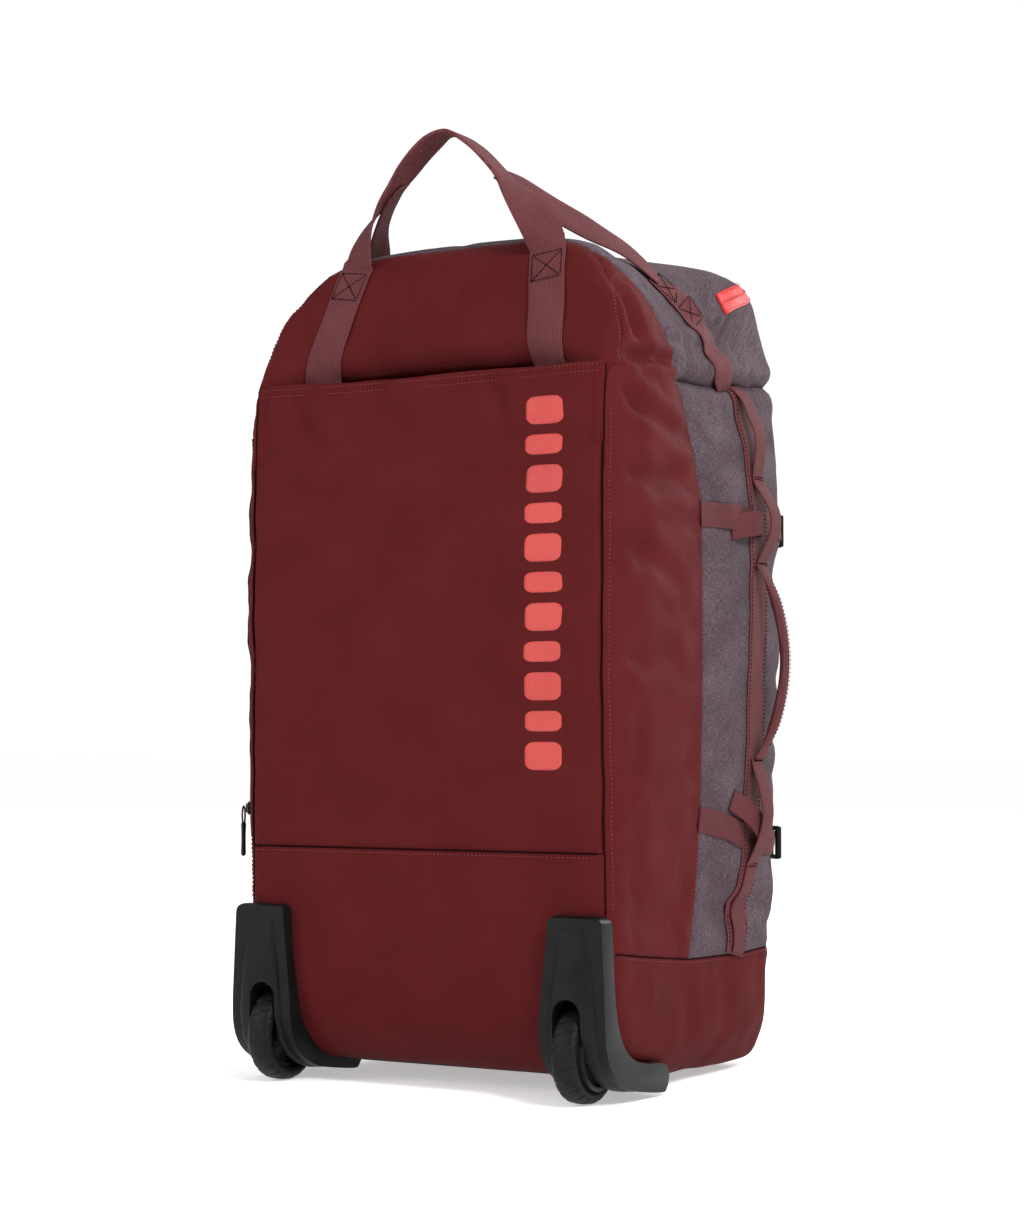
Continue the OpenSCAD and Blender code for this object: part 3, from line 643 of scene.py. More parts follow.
# %% A finer skin
def refined(points, quads):
    """One level of subdivision, as plain arrays."""
    mesh = bpy.data.meshes.new("fine")
    mesh.from_pydata(points.tolist(), [], quads.tolist())
    work = bpy.data.objects.new("fine", mesh)
    bpy.context.scene.collection.objects.link(work)
    work.modifiers.new("fine", "SUBSURF").levels = 1
    fine = work.evaluated_get(bpy.context.evaluated_depsgraph_get()).to_mesh()
    co = np.zeros(len(fine.vertices) * 3)
    fine.vertices.foreach_get("co", co)
    loops = np.zeros(len(fine.loops), np.int32)
    fine.loops.foreach_get("vertex_index", loops)
    bpy.data.objects.remove(work)
    return co.reshape(-1, 3), loops.reshape(-1, 4)


fine_skin, fine_quads = refined(full_skin, skin_quads)
print("fine skin", len(fine_skin), "points")

# %% [markdown]
# ## Cutting the panels
#
# Every edge that crosses a seam gets a new point exactly on it, and the faces are split there, so
# each panel ends in a clean line. Then the fabric is sunk along the seams, with small puckers
# square to the stitching, and the deep fold round the shoulders is pressed in.


# %% Cut the skin along its seams
def cut_mesh(bm, cut, where):
    bm.verts.ensure_lookup_table()
    p = np.array([v.co for v in bm.verts])
    value = np.where(where(p), cut(p), np.nan)
    new = []
    for edge in list(bm.edges):
        a, b = (value[v.index] for v in edge.verts)
        if a * b < 0:
            fac = a / (a - b)
            if 0.06 < fac < 0.94:
                new.append(bmesh.utils.edge_split(edge, edge.verts[0], float(fac))[1])
            else:
                near_one = edge.verts[0] if fac <= 0.06 else edge.verts[1]
                other = edge.other_vert(near_one)
                near_one.co = near_one.co.lerp(other.co, float(min(fac, 1 - fac)))
                value[near_one.index] = np.nan
                new.append(near_one)
    bmesh.ops.connect_verts(bm, verts=list(set(new)))
    bm.verts.index_update()


skin = bmesh.new()
skin_verts = [skin.verts.new(p) for p in fine_skin]
for quad in fine_quads:
    skin.faces.new([skin_verts[i] for i in quad])
skin.normal_update()
skin.verts.index_update()
for cut, where in CUTS:
    cut_mesh(skin, cut, where)
skin.verts.ensure_lookup_table()
skin.faces.ensure_lookup_table()
middles = np.array([f.calc_center_median() for f in skin.faces])
labels = panel_of(middles)
print("faces per panel:", {str(k): int(n) for k, n in zip(*np.unique(labels, return_counts=True))})


# %% Sink the seams and press in the folds
def near_seams(faces_labels):
    """Seam points and what kind of seam each lies on."""
    points, kinds = [], []
    skin.faces.index_update()
    for edge in skin.edges:
        pair = {str(faces_labels[f.index]) for f in edge.link_faces}
        if len(pair) == 2:
            crease = "crown" in pair and any(k.endswith("grey") for k in pair)
            hem = bool(pair & {"under_sleeve"})
            for v in edge.verts:
                points.append(tuple(v.co))
                kinds.append("crease" if crease else "hem" if hem else "seam")
    return np.array(points), np.array(kinds)


seam_points, seam_kinds = near_seams(labels)
boot_points = [v for v in skin.verts if 7 < v.co.z < 112 and v.co.y > -100]
for _ in range(14):  # the boot is a stiffer cloth, so its small wrinkles are calmed
    bmesh.ops.smooth_vert(skin, verts=boot_points, factor=0.5, use_axis_x=True, use_axis_y=True)
skin.normal_update()
place = np.array([v.co for v in skin.verts])
facing = np.array([v.normal for v in skin.verts])


def gap_to(points):
    """How far each point of the skin is from the nearest of the given points, and which that is."""
    tree = tree_of(points)
    found = [tree.find(p) for p in place]
    return np.array([f[2] for f in found]), np.array([f[0] for f in found])


seam_gap, seam_foot = gap_to(seam_points[seam_kinds != "hem"])
crease_gap = gap_to(seam_points[seam_kinds == "crease"])[0]
print("seam points", len(seam_points), "of which crease", int((seam_kinds == "crease").sum()))


# %% Shape of folds and puckers
def fold(p, line, depth, width, lip=0.5):
    """A pressed fold along a line of points: a groove with a raised lip on both sides."""
    run = even_line(smooth_line(line, 8), 3)
    tree = tree_of(run)
    hits = [tree.find(q) for q in p]
    gap = np.array([h[2] for h in hits])
    t = np.array([h[1] for h in hits]) / len(run)
    fade = ease(t, 0, 0.18) * (1 - ease(t, 0.8, 1))
    return fade * (-depth * np.exp(-(gap / width) ** 2) + lip * depth * np.exp(-((gap - 2.1 * width) / width) ** 2))


offset = -1.5 * np.exp(-(seam_gap / 3.2) ** 2)
pucker = noise_at(seam_foot, 9, 3.3)
offset += 0.9 * pucker * np.exp(-(seam_gap / 9) ** 2) * ease(seam_gap, 1, 5)
offset += 0.5 * noise_at(seam_foot, 4.5, 7.1) * np.exp(-(seam_gap / 6) ** 2) * ease(seam_gap, 1, 4)
above = crease_side(place) > 0
on_back = back_side(place) < 0
offset += np.where(on_back, 0, -5.0 * np.exp(-(crease_gap / 5.5) ** 2))
offset += np.where(above & ~on_back, 4.6, 2.2) * np.exp(-((crease_gap - 17) / 11) ** 2) * ~on_back
free = ease(seam_gap, 8, 40) * (0.45 + 0.55 * ease(place[:, 2], 90, 160))
offset += free * 2.4 * noise_at(place, (90, 90, 44), 1.7)
offset += free * 1.2 * noise_at(place, (44, 60, 26), 5.2)
SIDE_FOLDS = [  # (line, depth, width), on the right side
    ([(178, -118, 772), (194, -118, 738), (204, -116, 704)], 6.0, 8),
    ([(206, -18, 694), (207, -60, 694), (206, -105, 692), (199, -150, 688)], 7.0, 6),
    ([(200, -165, 668), (209, -120, 640), (211, -60, 622), (211, -20, 628)], 5.4, 9),
    ([(200, -168, 590), (211, -120, 572), (213, -70, 578), (213, -10, 566)], 4.6, 10),
    ([(202, -168, 520), (212, -110, 498), (213, -50, 476)], 4.2, 11),
    ([(203, -168, 400), (212, -100, 414), (213, -40, 396)], 3.4, 12),
    ([(203, -160, 300), (210, -90, 284), (210, -30, 292)], 3.0, 13),
    ([(206, -70, 112), (204, -20, 70), (200, 30, 30), (196, 60, 8)], 2.2, 26),
    ([(204, 40, 116), (204, 90, 60), (190, 120, 10)], 1.6, 26),
    ([(204, 130, 112), (202, 150, 60), (186, 160, 14)], 1.4, 24),
    ([(206, -44, 744), (200, -10, 752), (196, 24, 760)], 4.2, 5),
    ([(206, 60, 770), (190, 100, 778), (150, 150, 800)], 1.8, 9),
]
for sign in (1, -1):
    for line, depth, width in SIDE_FOLDS:
        offset += fold(place, [(sign * a, b, c) for a, b, c in line], depth, width)
hard = (lid_side(place) < 3) & (place[:, 1] > 120)
offset = np.where(hard, offset * 0.6, offset)
place = place + facing * offset[:, None]
behind = on_back & (place[:, 2] > POCKET_FLOOR - 2)
place[:, 1] += np.where(behind, 9 * (1 - ease(place[:, 2], 662, 700)) * (1 - ease(np.abs(place[:, 0]), 180,
                                                                                  194)), 0)
place[:, 2] = np.maximum(place[:, 2], 1.6)
for v, p in zip(skin.verts, place):
    v.co = p
skin.normal_update()
skin_tree = BVHTree.FromBMesh(skin)
print("folds pressed, deepest", round(float(offset.min()), 1), "mm")


# %% [markdown]
# ## From skin to panels
#
# Each panel becomes its own object with a real thickness: cloth outside, lining inside. Its UV
# map is the cloth laid flat, measured round the bag, so that the weave keeps its scale and runs
# straight on every panel.


# %% Make a mesh piece
def piece(name, points, faces, finishes, uv=None):
    """An object from points in millimetres. uv gives one flat position for each point."""
    mesh = bpy.data.meshes.new(name)
    mesh.from_pydata((np.asarray(points, float) * MM).tolist(), [], [list(map(int, f)) for f in faces])
    for finish in finishes:
        mesh.materials.append(finish)
    if uv is not None:
        layer = mesh.uv_layers.new(name="cloth")
        loops = np.zeros(len(mesh.loops), np.int32)
        mesh.loops.foreach_get("vertex_index", loops)
        layer.data.foreach_set("uv", np.asarray(uv, np.float32)[loops].ravel())
    mesh.polygons.foreach_set("use_smooth", [True] * len(mesh.polygons))
    mesh.update()
    obj = bpy.data.objects.new(name, mesh)
    bpy.context.scene.collection.objects.link(obj)
    return obj


def face_out(obj):
    """Turn every face of a closed piece outward."""
    bm = bmesh.new()
    bm.from_mesh(obj.data)
    bmesh.ops.recalc_face_normals(bm, faces=bm.faces)
    bm.to_mesh(obj.data)
    bm.free()


def thicken(obj, thickness, inner_slot=1, offset=-1.0):
    """A thickness in millimetres; the faces inside take the finish in inner_slot."""
    solid = obj.modifiers.new("thickness", "SOLIDIFY")
    solid.thickness = thickness * MM
    solid.offset = offset
    solid.material_offset = inner_slot
    solid.use_even_offset = False


def flat_place(p, kind):
    """Where a point of the skin lies on the flat cloth of its panel, in millimetres."""
    x, y, z = p.T
    if kind == "crown":
        return np.stack([x, y - (z - 830) * (y > 60) + (z - 830) * (y < -60)], 1)
    if kind in ("yoke", "lower_back", "lid", "under_sleeve"):
        return np.stack([x, z - np.clip(90 - z, 0, None) * 0.6], 1)
    round_back = np.clip(205 - np.abs(x), 0, None)
    return np.stack([np.where(y < 0, y - round_back, y + round_back) * np.sign(x + 1e-9), z], 1)


# %% Cut out the panels
CLOTH = {"yoke": red_cloth, "lower_back": red_cloth, "boot": red_cloth, "right_red": red_side_cloth,
         "left_red": red_side_cloth, "right_grey": grey_cloth, "left_grey": grey_cloth, "crown": grey_cloth,
         "lid": grey_cloth}
STANDS_FOR = {"yoke": ["yoke_panel"], "lower_back": ["lower_back_panel"], "boot": ["base_boot"],
              "right_red": ["right_red_gusset"], "left_red": ["left_red_gusset"],
              "right_grey": ["right_grey_gusset"], "left_grey": ["left_grey_gusset"],
              "crown": ["top_panel"], "lid": ["lid_panel"]}
AXLE_Y, AXLE_Z = -158.0, 46.0
panels = {}
from_axle = np.hypot(middles[:, 1] - AXLE_Y, middles[:, 2] - AXLE_Z)
in_wheel_well = (np.abs(np.abs(middles[:, 0]) - 170) < 19) & (from_axle < 51)
face_verts = [[v.index for v in f.verts] for f in skin.faces]
for label, cloth in CLOTH.items():
    chosen = [face_verts[i] for i in np.flatnonzero((labels == label) & ~in_wheel_well)]
    used = sorted({i for f in chosen for i in f})
    renumber = {old: new for new, old in enumerate(used)}
    points = place[used]
    panel = piece(label + "_cloth", points, [[renumber[i] for i in f] for f in chosen], [cloth, lining],
                  flat_place(points, label.replace("right_", "side_").replace("left_", "side_")))
    thicken(panel, 2.2 if label == "lid" else 1.8)
    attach(panel, "lid" if label == "lid" else "frame")
    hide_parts(*STANDS_FOR[label])
    panels[label] = panel
print({k: len(v.data.polygons) for k, v in panels.items()})

# %% [markdown]
# ## The handle sleeve
#
# A flat padded panel covers the pull handle. It is sewn down on three sides and open at its top
# hem, where it stands a little off the yoke. It is a sheet of its own laid over the skin.


# %% The handle sleeve
def on_skin(p, direction, reach=60.0):
    """The point where a ray from outside meets the skin, and the skin's normal there."""
    d = Vector(direction).normalized()
    start = Vector(p) - d * reach
    hit, normal, _, _ = skin_tree.ray_cast(start, d)
    if hit is None:
        hit, normal, _, _ = skin_tree.find_nearest(Vector(p))
    return np.array(hit), np.array(normal)


HEM_TOP = 681.0
HEM_DEPTH = -174.5  # how far out the hem stands


def sleeve_face(x, z):
    """Depth of the sleeve's outer face."""
    edge = ease(abs(x), 168, 194)
    sewn = on_skin((x, -170, z), (0, 1, 0))[0][1]
    flat = on_skin((x, -170, min(z, 545)), (0, 1, 0))[0][1]
    flat += (HEM_DEPTH - flat) * ease(z, 545, 640)
    share = ease(z, 545, 600) * (1 - edge)
    base = sewn + (flat - sewn) * share if z > 545 else sewn
    swell = 1.8 * (1 - edge) * math.sin(math.pi * min(1, (z - SLEEVE_LOW) / (HEM_TOP - SLEEVE_LOW)))
    return base - 1.5 - swell


sleeve_x = np.concatenate([np.linspace(-1, -0.93, 6), np.linspace(-0.9, 0.9, 62), np.linspace(0.93, 1, 6)])
sleeve_z = np.concatenate([np.linspace(SLEEVE_LOW, 236, 5), np.linspace(241, 668, 84),
                           np.linspace(671, HEM_TOP, 6)])
rows = []
for z in sleeve_z:
    half = np.interp(z, [SLEEVE_LOW, 600, HEM_TOP], [194.5, 194, 193.5])
    top_dip = 5.0 * ease(z, 600, HEM_TOP)
    for u in sleeve_x:
        x = u * half
        sag = top_dip * (1 - (x / half) ** 2) * 0.6
        rows.append((x, sleeve_face(x, z), z - sag + 1.2 * math.sin(x / 31) * ease(z, 640, HEM_TOP)))
sleeve_points = np.array(rows)
nx, nz = len(sleeve_x), len(sleeve_z)
border = np.minimum.reduce([194 - np.abs(sleeve_points[:, 0]), sleeve_points[:, 2] - SLEEVE_LOW])
ripple = 0.8 * noise_at(sleeve_points, (60, 60, 120), 2.2) + 0.35 * noise_at(sleeve_points, 22, 4.0)
sleeve_points[:, 1] += np.where(border > 0, ripple * ease(border, 6, 40),
                                0) + 2.6 * np.exp(-(border / 3.2) ** 2)
SLEEVE_FOLDS = [  # (line, depth, width)
    ([(-150, -180, 676), (-138, -180, 640), (-104, -180, 604)], 4.6, 11),
    ([(-60, -180, 680), (-44, -180, 652), (-2, -180, 636)], 3.8, 10),
    ([(64, -180, 680), (82, -180, 655), (92, -180, 622)], 3.8, 9),
    ([(190, -180, 640), (150, -180, 622), (120, -180, 630)], 2.4, 10),
    ([(-190, -180, 600), (-120, -180, 560), (-30, -180, 548), (60, -180, 560)], 3.2, 15),
    ([(190, -180, 470), (110, -180, 446), (20, -180, 452)], 2.4, 17),
    ([(-190, -180, 360), (-110, -180, 342), (-20, -180, 350)], 1.4, 18),
]
for line, depth, width in SLEEVE_FOLDS:
    sleeve_points[:, 1] -= fold(sleeve_points, line, depth, width)
sleeve_faces = [(r * nx + c, r * nx + c + 1, (r + 1) * nx + c + 1, (r + 1) * nx + c)
                for r in range(nz - 1) for c in range(nx - 1)]
sleeve = piece("handle_sleeve", sleeve_points, sleeve_faces, [red_cloth, lining], sleeve_points[:, [0, 2]])
thicken(sleeve, 2.2)
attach(sleeve, "frame")
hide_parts("sleeve_panel")
print("sleeve", nx, "by", nz)

# %% [markdown]
# ## Webbing
#
# A strap is swept along a line. At each point it needs to know where the line goes and which way
# its width points. Its section is a flat shape with round edges, and its UV map runs across and
# along it in millimetres, so the ribs follow it through every twist.


# %% Sweep a strap
SECTION = [(-1, 0), (-0.985, 0.62), (-0.93, 1), (-0.5, 1.04), (0, 1.06), (0.5, 1.04), (0.93, 1),
           (0.985, 0.62),
           (1, 0), (0.985, -0.62), (0.93, -1), (0.5, -1), (0, -1), (-0.5, -1), (-0.93, -1), (-0.985, -0.62)]


def per_point(value, n):
    return np.broadcast_to(np.asarray(value, float), n) if np.ndim(value) == 0 else np.asarray(value, float)


def directions(line):
    d = np.gradient(line, axis=0)
    return d / np.maximum(np.linalg.norm(d, axis=1, keepdims=True), 1e-9)


def strap(name, line, sides, width, thickness, finishes, section=SECTION, across_offset=None):
    """A closed strap along line; sides are the directions of its width."""
    n, m = len(line), len(section)
    run = directions(line)
    side = sides - (sides * run).sum(1, keepdims=True) * run
    side /= np.linalg.norm(side, axis=1, keepdims=True)
    up = np.cross(run, side)
    width, thickness = per_point(width, n), per_point(thickness, n)
    length = run_length(line)
    points, uv = [], []
    for i in range(n):
        for j, (a, b) in enumerate(section):
            lift = 0 if across_offset is None else across_offset[i][j]
            points.append(line[i] + side[i] * a * width[i] / 2 + up[i] * (b * thickness[i] / 2 + lift))
            uv.append((a * width[i] / 2 + 0.3 * b, length[i]))
    faces = [(i * m + j, i * m + (j + 1) % m, (i + 1) * m + (j + 1) % m, (i + 1) * m + j)
             for i in range(n - 1) for j in range(m)]
    faces += [tuple(range(m))[::-1], tuple((n - 1) * m + j for j in range(m))]
    obj = piece(name, points, faces, finishes, uv)
    face_out(obj)
    return obj


# %% Webbing that lies on the skin
def laid_strap(name, line, width, thickness, finishes, lift=0.4, spacing=6.0, raise_by=None):
    """A strap that follows the skin. line holds points near the skin; raise_by lifts it along its length."""
    route = even_line(line, spacing)
    hits = [skin_tree.find_nearest(Vector(p)) for p in route]
    base = np.array([h[0] for h in hits])
    normal = np.array([h[1] for h in hits])
    calm(normal, 3)
    normal /= np.linalg.norm(normal, axis=1, keepdims=True)
    side = np.cross(normal, directions(base))
    side /= np.linalg.norm(side, axis=1, keepdims=True)
    marks = np.linspace(-1, 1, 7)
    height = np.zeros((len(base), len(marks)))
    for i in range(len(base)):
        for k, mark in enumerate(marks):
            start = base[i] + side[i] * mark * width / 2 + normal[i] * 30
            hit = skin_tree.ray_cast(Vector(start), Vector(-normal[i]))
            height[i, k] = 30 - hit[3] if hit[0] is not None else 0
    smooth = height.copy()
    for _ in range(4):
        smooth[1:-1] = (smooth[:-2] + 2 * smooth[1:-1] + smooth[2:]) / 4
        smooth[:, 1:-1] = (smooth[:, :-2] + 2 * smooth[:, 1:-1] + smooth[:, 2:]) / 4
    height = np.maximum(smooth, height - 0.2)
    extra = np.zeros(len(base)) if raise_by is None else np.interp(
        np.linspace(0, 1, len(base)), np.linspace(0, 1, len(raise_by)), raise_by)
    lifts = [[np.interp(a, marks, height[i]) + lift + thickness / 2 + extra[i] for a, _ in SECTION]
             for i in range(len(base))]
    up_way = np.cross(directions(base), side)
    flip = np.sign((up_way * normal).sum(1))
    lifts = [[v * flip[i] for v in lifts[i]] for i in range(len(base))]
    obj = strap(name, base, side, width, thickness, finishes, across_offset=lifts)
    return obj, base, normal, side, np.array([np.interp(0, marks,
                                                        height[i]) for i in range(len(base))]) + extra


def side_point(y, z, sign=1):
    return on_skin((sign * 300, y, z), (-sign, 0, 0), reach=100)[0]


print("strap helpers ready")

# %% [markdown]
# ## Stitches
#
# Stitching is what makes sewn things look sewn. Each stitch is a tiny eight-sided spindle lying
# on the cloth, and all the stitches of one colour on one body are joined in one object.


# %% Stitches
stitch_store = {}


def sew(points, normals, body="frame", colour="red", length=2.8, gap=1.4, fat=0.5):
    """A row of stitches along points, sunk a little into the cloth."""
    line = np.asarray(points, float)
    normals = np.asarray(normals, float)
    run = run_length(line)
    at = np.arange(gap, run[-1] - length, length + gap)
    if not len(at):
        return
    pick = lambda a, data: np.stack([np.interp(a, run, data[:, i]) for i in range(3)], 1)
    start, end, up = pick(at, line), pick(at + length, line), pick(at + length / 2, normals)
    up /= np.linalg.norm(up, axis=1, keepdims=True)
    way = end - start
    way /= np.maximum(np.linalg.norm(way, axis=1, keepdims=True), 1e-9)
    side = np.cross(up, way)
    mid = (start + end) / 2
    rows = [start, mid + side * fat, mid + up * fat * 1.3, mid - side * fat, mid - up * fat, end]
    verts = np.stack(rows, 1) + up[:, None] * 0.12
    store = stitch_store.setdefault((body, colour), [])
    store.append(verts.reshape(-1, 3))


SPINDLE = [(0, 2, 1), (0, 3, 2), (0, 4, 3), (0, 1, 4), (5, 1, 2), (5, 2, 3), (5, 3, 4), (5, 4, 1)]
STITCH_SLOTS = {"red": (thread_red, "red_fabric"), "dark": (dark_thread_and_seam_shade, "webbing")}


def sew_on_skin(line, **kw):
    """A row of stitches laid on the skin along a line near it."""
    hits = [skin_tree.find_nearest(Vector(p)) for p in even_line(line, 3)]
    sew([np.array(h[0]) + np.array(h[1]) * 0.15 for h in hits], [h[1] for h in hits], **kw)


def box_stitch(centre, along_dir, side_dir, up, length, width, **kw):
    """The box with a cross that holds a strap down."""
    a, s = np.array(along_dir) * length / 2, np.array(side_dir) * width / 2
    corners = [centre - a - s, centre + a - s, centre + a + s, centre - a + s]
    for p, q in ((0, 1), (1, 2), (2, 3), (3, 0), (0, 2), (1, 3)):
        sew(even_line([corners[p], corners[q]], 4),
            np.tile(up, (len(even_line([corners[p], corners[q]], 4)), 1)), **kw)


print("stitch helpers ready")

# %% [markdown]
# ## The grab loop
#
# Wide webbing comes up from under the sleeve's hem, is sewn to the yoke with a boxed cross, and
# turns on edge to meet its twin in a loop for the hand. A second strap on each side runs from the
# foot of the loop back over the shoulder and on down the side of the bag.

# %% The front of the grab loop
front_right = [(131, -151, 668), (127, -149, 690), (120, -139, 735), (113, -127, 778), (109, -119, 800),
               (101, -122, 822), (86, -126, 846), (70, -126, 866), (56, -125, 882), (36, -125, 903),
               (16, -126, 918), (0, -126, 924)]
front_turn = [(1, 0, 0), (1, 0, 0), (0.99, 0.05, 0.0), (0.98, 0.1, 0), (0.97, 0.2, 0.1), (0.86, 0.5, 0.1),
              (0.6, 0.8, 0.1), (0.3, 0.95, 0), (0.05, 1, 0), (0, 1, 0), (0, 1, 0), (0, 1, 0)]
line = smooth_line(front_right + [(-x, y, z) for x, y, z in front_right[-2::-1]], 6)
turn = smooth_line(front_turn + [(-x, y, z) for x, y, z in front_turn[-2::-1]], 6)
for i, p in enumerate(line):
    if p[2] < 806:  # lying on the yoke, tilted to touch it right across
        left, mid, right = [on_skin((p[0] + s, p[1] - 20, p[2]), (0, 1, 0))[0] for s in (-17, 0, 17)]
        line[i] = (p[0], min((left[1] + right[1]) / 2, mid[1]) - 1.9, p[2])
        turn[i] = (right - left) / np.linalg.norm(right - left) * (1 if p[0] > 0 else -1)
calm(line, 3)
mid_gap = np.abs(line[:, 0])
grip_width = 38 - 13 * np.exp(-(mid_gap / 12) ** 2) - 9 * np.exp(-((mid_gap - 62) / 11) ** 2)
grip_thick = 2.2 + 1.4 * np.exp(-(mid_gap / 45) ** 4) + 1.6 * np.exp(-((mid_gap - 62) / 12) ** 2)
grab_loop = strap("grab_loop", line, turn, grip_width, grip_thick, [webbing])
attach(grab_loop, "frame")
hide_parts("front_grab_strap")

BOX_UP = 781  # height of the boxed cross that holds each side
for sign in (1, -1):
    box_x = sign * np.interp(BOX_UP, [735, 778, 800], [120, 113, 109])
    hit, normal = on_skin((box_x, -150, BOX_UP), (0, 1, 0))
    up_way = np.array([-sign * 0.16, 0.28, 0.95])
    up_way -= normal * (up_way @ normal)
    up_way /= np.linalg.norm(up_way)
    box_stitch(hit + normal * 3.1, up_way, np.cross(up_way, normal), normal, 30, 31, colour="dark",
               fat=0.75, gap=0.3)
print("grab loop", len(line), "rows")

# %% The straps over the shoulders
SHOULDER = {1: [(52, -119, 880), (66, -108, 869), (90, -78, 849), (118, -48, 829), (143, -22, 811),
                (166, 2, 788)],
            -1: [(54, -119, 879), (72, -112, 867), (100, -88, 850), (122, -62, 836), (145, -26, 814),
                 (166, 2, 788)]}
SHOULDER_TURN = [(0.3, 0.9, 0.2), (0.0, 0.85, 0.5), (-0.1, 0.76, 0.64), (-0.2, 0.72, 0.66),
                 (-0.3, 0.68, 0.66),
                 (-0.45, 0.6, 0.6)]
ON_BAG = [(160, -5, 792), (170, 8, 780), (178, 19, 770), (187, 32, 756), (196, 46, 732), (203, 57, 710),
          (206, 64, 697), (206, 68, 684)]
for sign, word in SIDES:
    laid, base, normal, side, height = laid_strap(word + "_shoulder_web",
                                                  smooth_line([(sign * x, y, z) for x, y, z in
                                                                                    ON_BAG], 6), 36, 2.0,
                                                                                    [webbing])
    start_side = side[1] * np.sign(side[1] @ (np.array(SHOULDER_TURN[-1]) * (sign, 1, 1)))
    path = [np.array((sign * x, y, z), float) for x, y, z in SHOULDER[sign]]
    path[-1] = base[2] + normal[2] * (height[2] + 3.2)
    turns = [np.array((sign * x, y, z)) for x, y, z in SHOULDER_TURN]
    turns[-1] = start_side
    turns[-2] = turns[-2] / np.linalg.norm(turns[-2]) + start_side
    line, turn = smooth_line(path, 7), smooth_line(turns, 7)
    wide = 36 - 14 * (1 - ease(np.linspace(0, 1, len(line)), 0, 0.28))
    rear = strap(word + "_shoulder_strap", line, turn, wide, 2.1, [webbing])
    for obj in (laid, rear):
        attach(obj, "frame")
    if sign > 0:
        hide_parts("rear_grab_strap")
    for k in (4, 10):
        up_way, way = normal[k], directions(base)[k]
        box_stitch(base[k] + up_way * (height[k] + 2.9), way, side[k], up_way, 26, 30, colour="dark",
                   fat=0.75, gap=0.3)
print("shoulder straps")

# %% [markdown]
# ## Side bands, loops and haul handles
#
# A wide band of webbing is sewn flat to each side. A narrower one lies on it and is tacked down
# every so often; between the tacks it stands off as loops, and the longest stretch is folded
# double into a handle.

# %% Side bands and daisy loops
BAND = [(83, 119), (98, 200), (106, 300), (112, 400), (115, 500), (112, 594), (103, 650), (96, 684)]
TACKS = (206, 312, 508, 594)


def band_y(z):
    return np.interp(z, [b[1] for b in BAND], [b[0] for b in BAND])


for sign, word in SIDES:
    run = smooth_line([side_point(y, z, sign) for y, z in BAND], 8)
    band, base, normal, side, height = laid_strap(word + "_side_band_web", run, 38, 1.8, [webbing])
    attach(band, "frame")
    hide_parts(word + "_side_band")
    for edge in (-1, 1):
        sew(base + normal * (height[:, None] + 2.5) + side * edge * 16.5, normal, colour="dark")
    # the narrower web on top, standing off between its tacks
    pieces = []
    for low, high in ((120, 312), (508, 690)):
        zs = np.arange(low, high + 0.1, 3.0)
        rise = np.zeros(len(zs))
        for a, b, top in ((206, 312, 15), (508, 594, 17), (594, 690, 9)):
            t = np.clip((zs - a) / (b - a), 0, 1)
            rise = np.maximum(rise, np.where((zs > a) & (zs < b), top * np.sin(math.pi * t) ** 1.35, 0))
        line = np.array([side_point(band_y(z) + 2, z, sign) for z in zs])
        calm(line, 5)
        line[:, 0] += sign * (3.6 + rise)
        turns = np.tile((0.0, 1.0, 0.0), (len(zs), 1)) + np.array([0, 0, 0.1])
        pieces.append(strap(f"{word}_daisy_web_{low}", line, turns, 25, 1.7, [slim_webbing]))
        for z in TACKS:
            if low <= z <= high:
                here = line[int(np.argmin(np.abs(zs - z)))] + (sign * 1.1, 0, 0)
                for dz in (-1.2, 1.2):
                    sew([here + (0, -11, dz), here + (0, 11, dz)], [(sign, 0, 0)] * 2, colour="dark",
                        length=1.2,
                        gap=0.35, fat=0.6)
    for p in pieces:
        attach(p, "frame")
    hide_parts(word + "_daisy_loops")
print("side bands")

# %% Haul handles
ROLL = [(math.cos(a), math.sin(a)) for a in np.linspace(math.pi, -math.pi, 19)[:-1]]
for sign, word in SIDES:
    low, high = 312.5, 507.5
    t = np.linspace(0, 1, 60)
    zs = low + (high - low) * t
    bow = np.sin(math.pi * t) ** 0.85
    foot = [side_point(112, z, sign)[0] for z in (low, high)]
    base_x = np.interp(t, [0, 1], foot)
    line = np.stack([base_x + sign * (4.6 + 27.5 * bow), 112 - 1.5 * bow, zs], 1)
    width = 17.5 - 3.5 * np.exp(-((t - 0.5) / 0.2) ** 2) + 6.5 * (np.exp(-(t / 0.05) ** 2) + np.exp(-((1 - t) / 0.05) ** 2))
    thick = 2.4 + 6.4 * ease(np.minimum(t, 1 - t), 0.03, 0.2)
    turns = np.tile((0.0, 1.0, 0.0), (len(t), 1))
    haul = strap(word + "_haul", line, turns, width, thick, [slim_webbing], section=ROLL)
    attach(haul, word + "_haul")
    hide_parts(word + "_haul_handle")
    out = np.cross(directions(line), turns) * sign
    out *= np.sign(out[:, :1] * sign)
    sew(line[4:-4] + out[4:-4] * (thick[4:-4, None] / 2 + 0.1) + (0, 3.5, 0), out[4:-4],
        body=word + "_haul", colour="dark")
print("haul handles")

# %% [markdown]
# ## Compression straps and buckles
#
# Narrow straps hold the load together at two heights. Each leaves the red seam, passes under the
# side webbing and ends in a ladder-lock buckle at the front corner. The loose tail comes back
# over the strap and has a folded end.

# %% Compression straps
STRAPS = {"upper": [(-2, 551), (45, 552), (90, 551), (140, 550), (165, 549)],
          "lower": [(-2, 256), (40, 248), (85, 236), (130, 229), (165, 227)]}


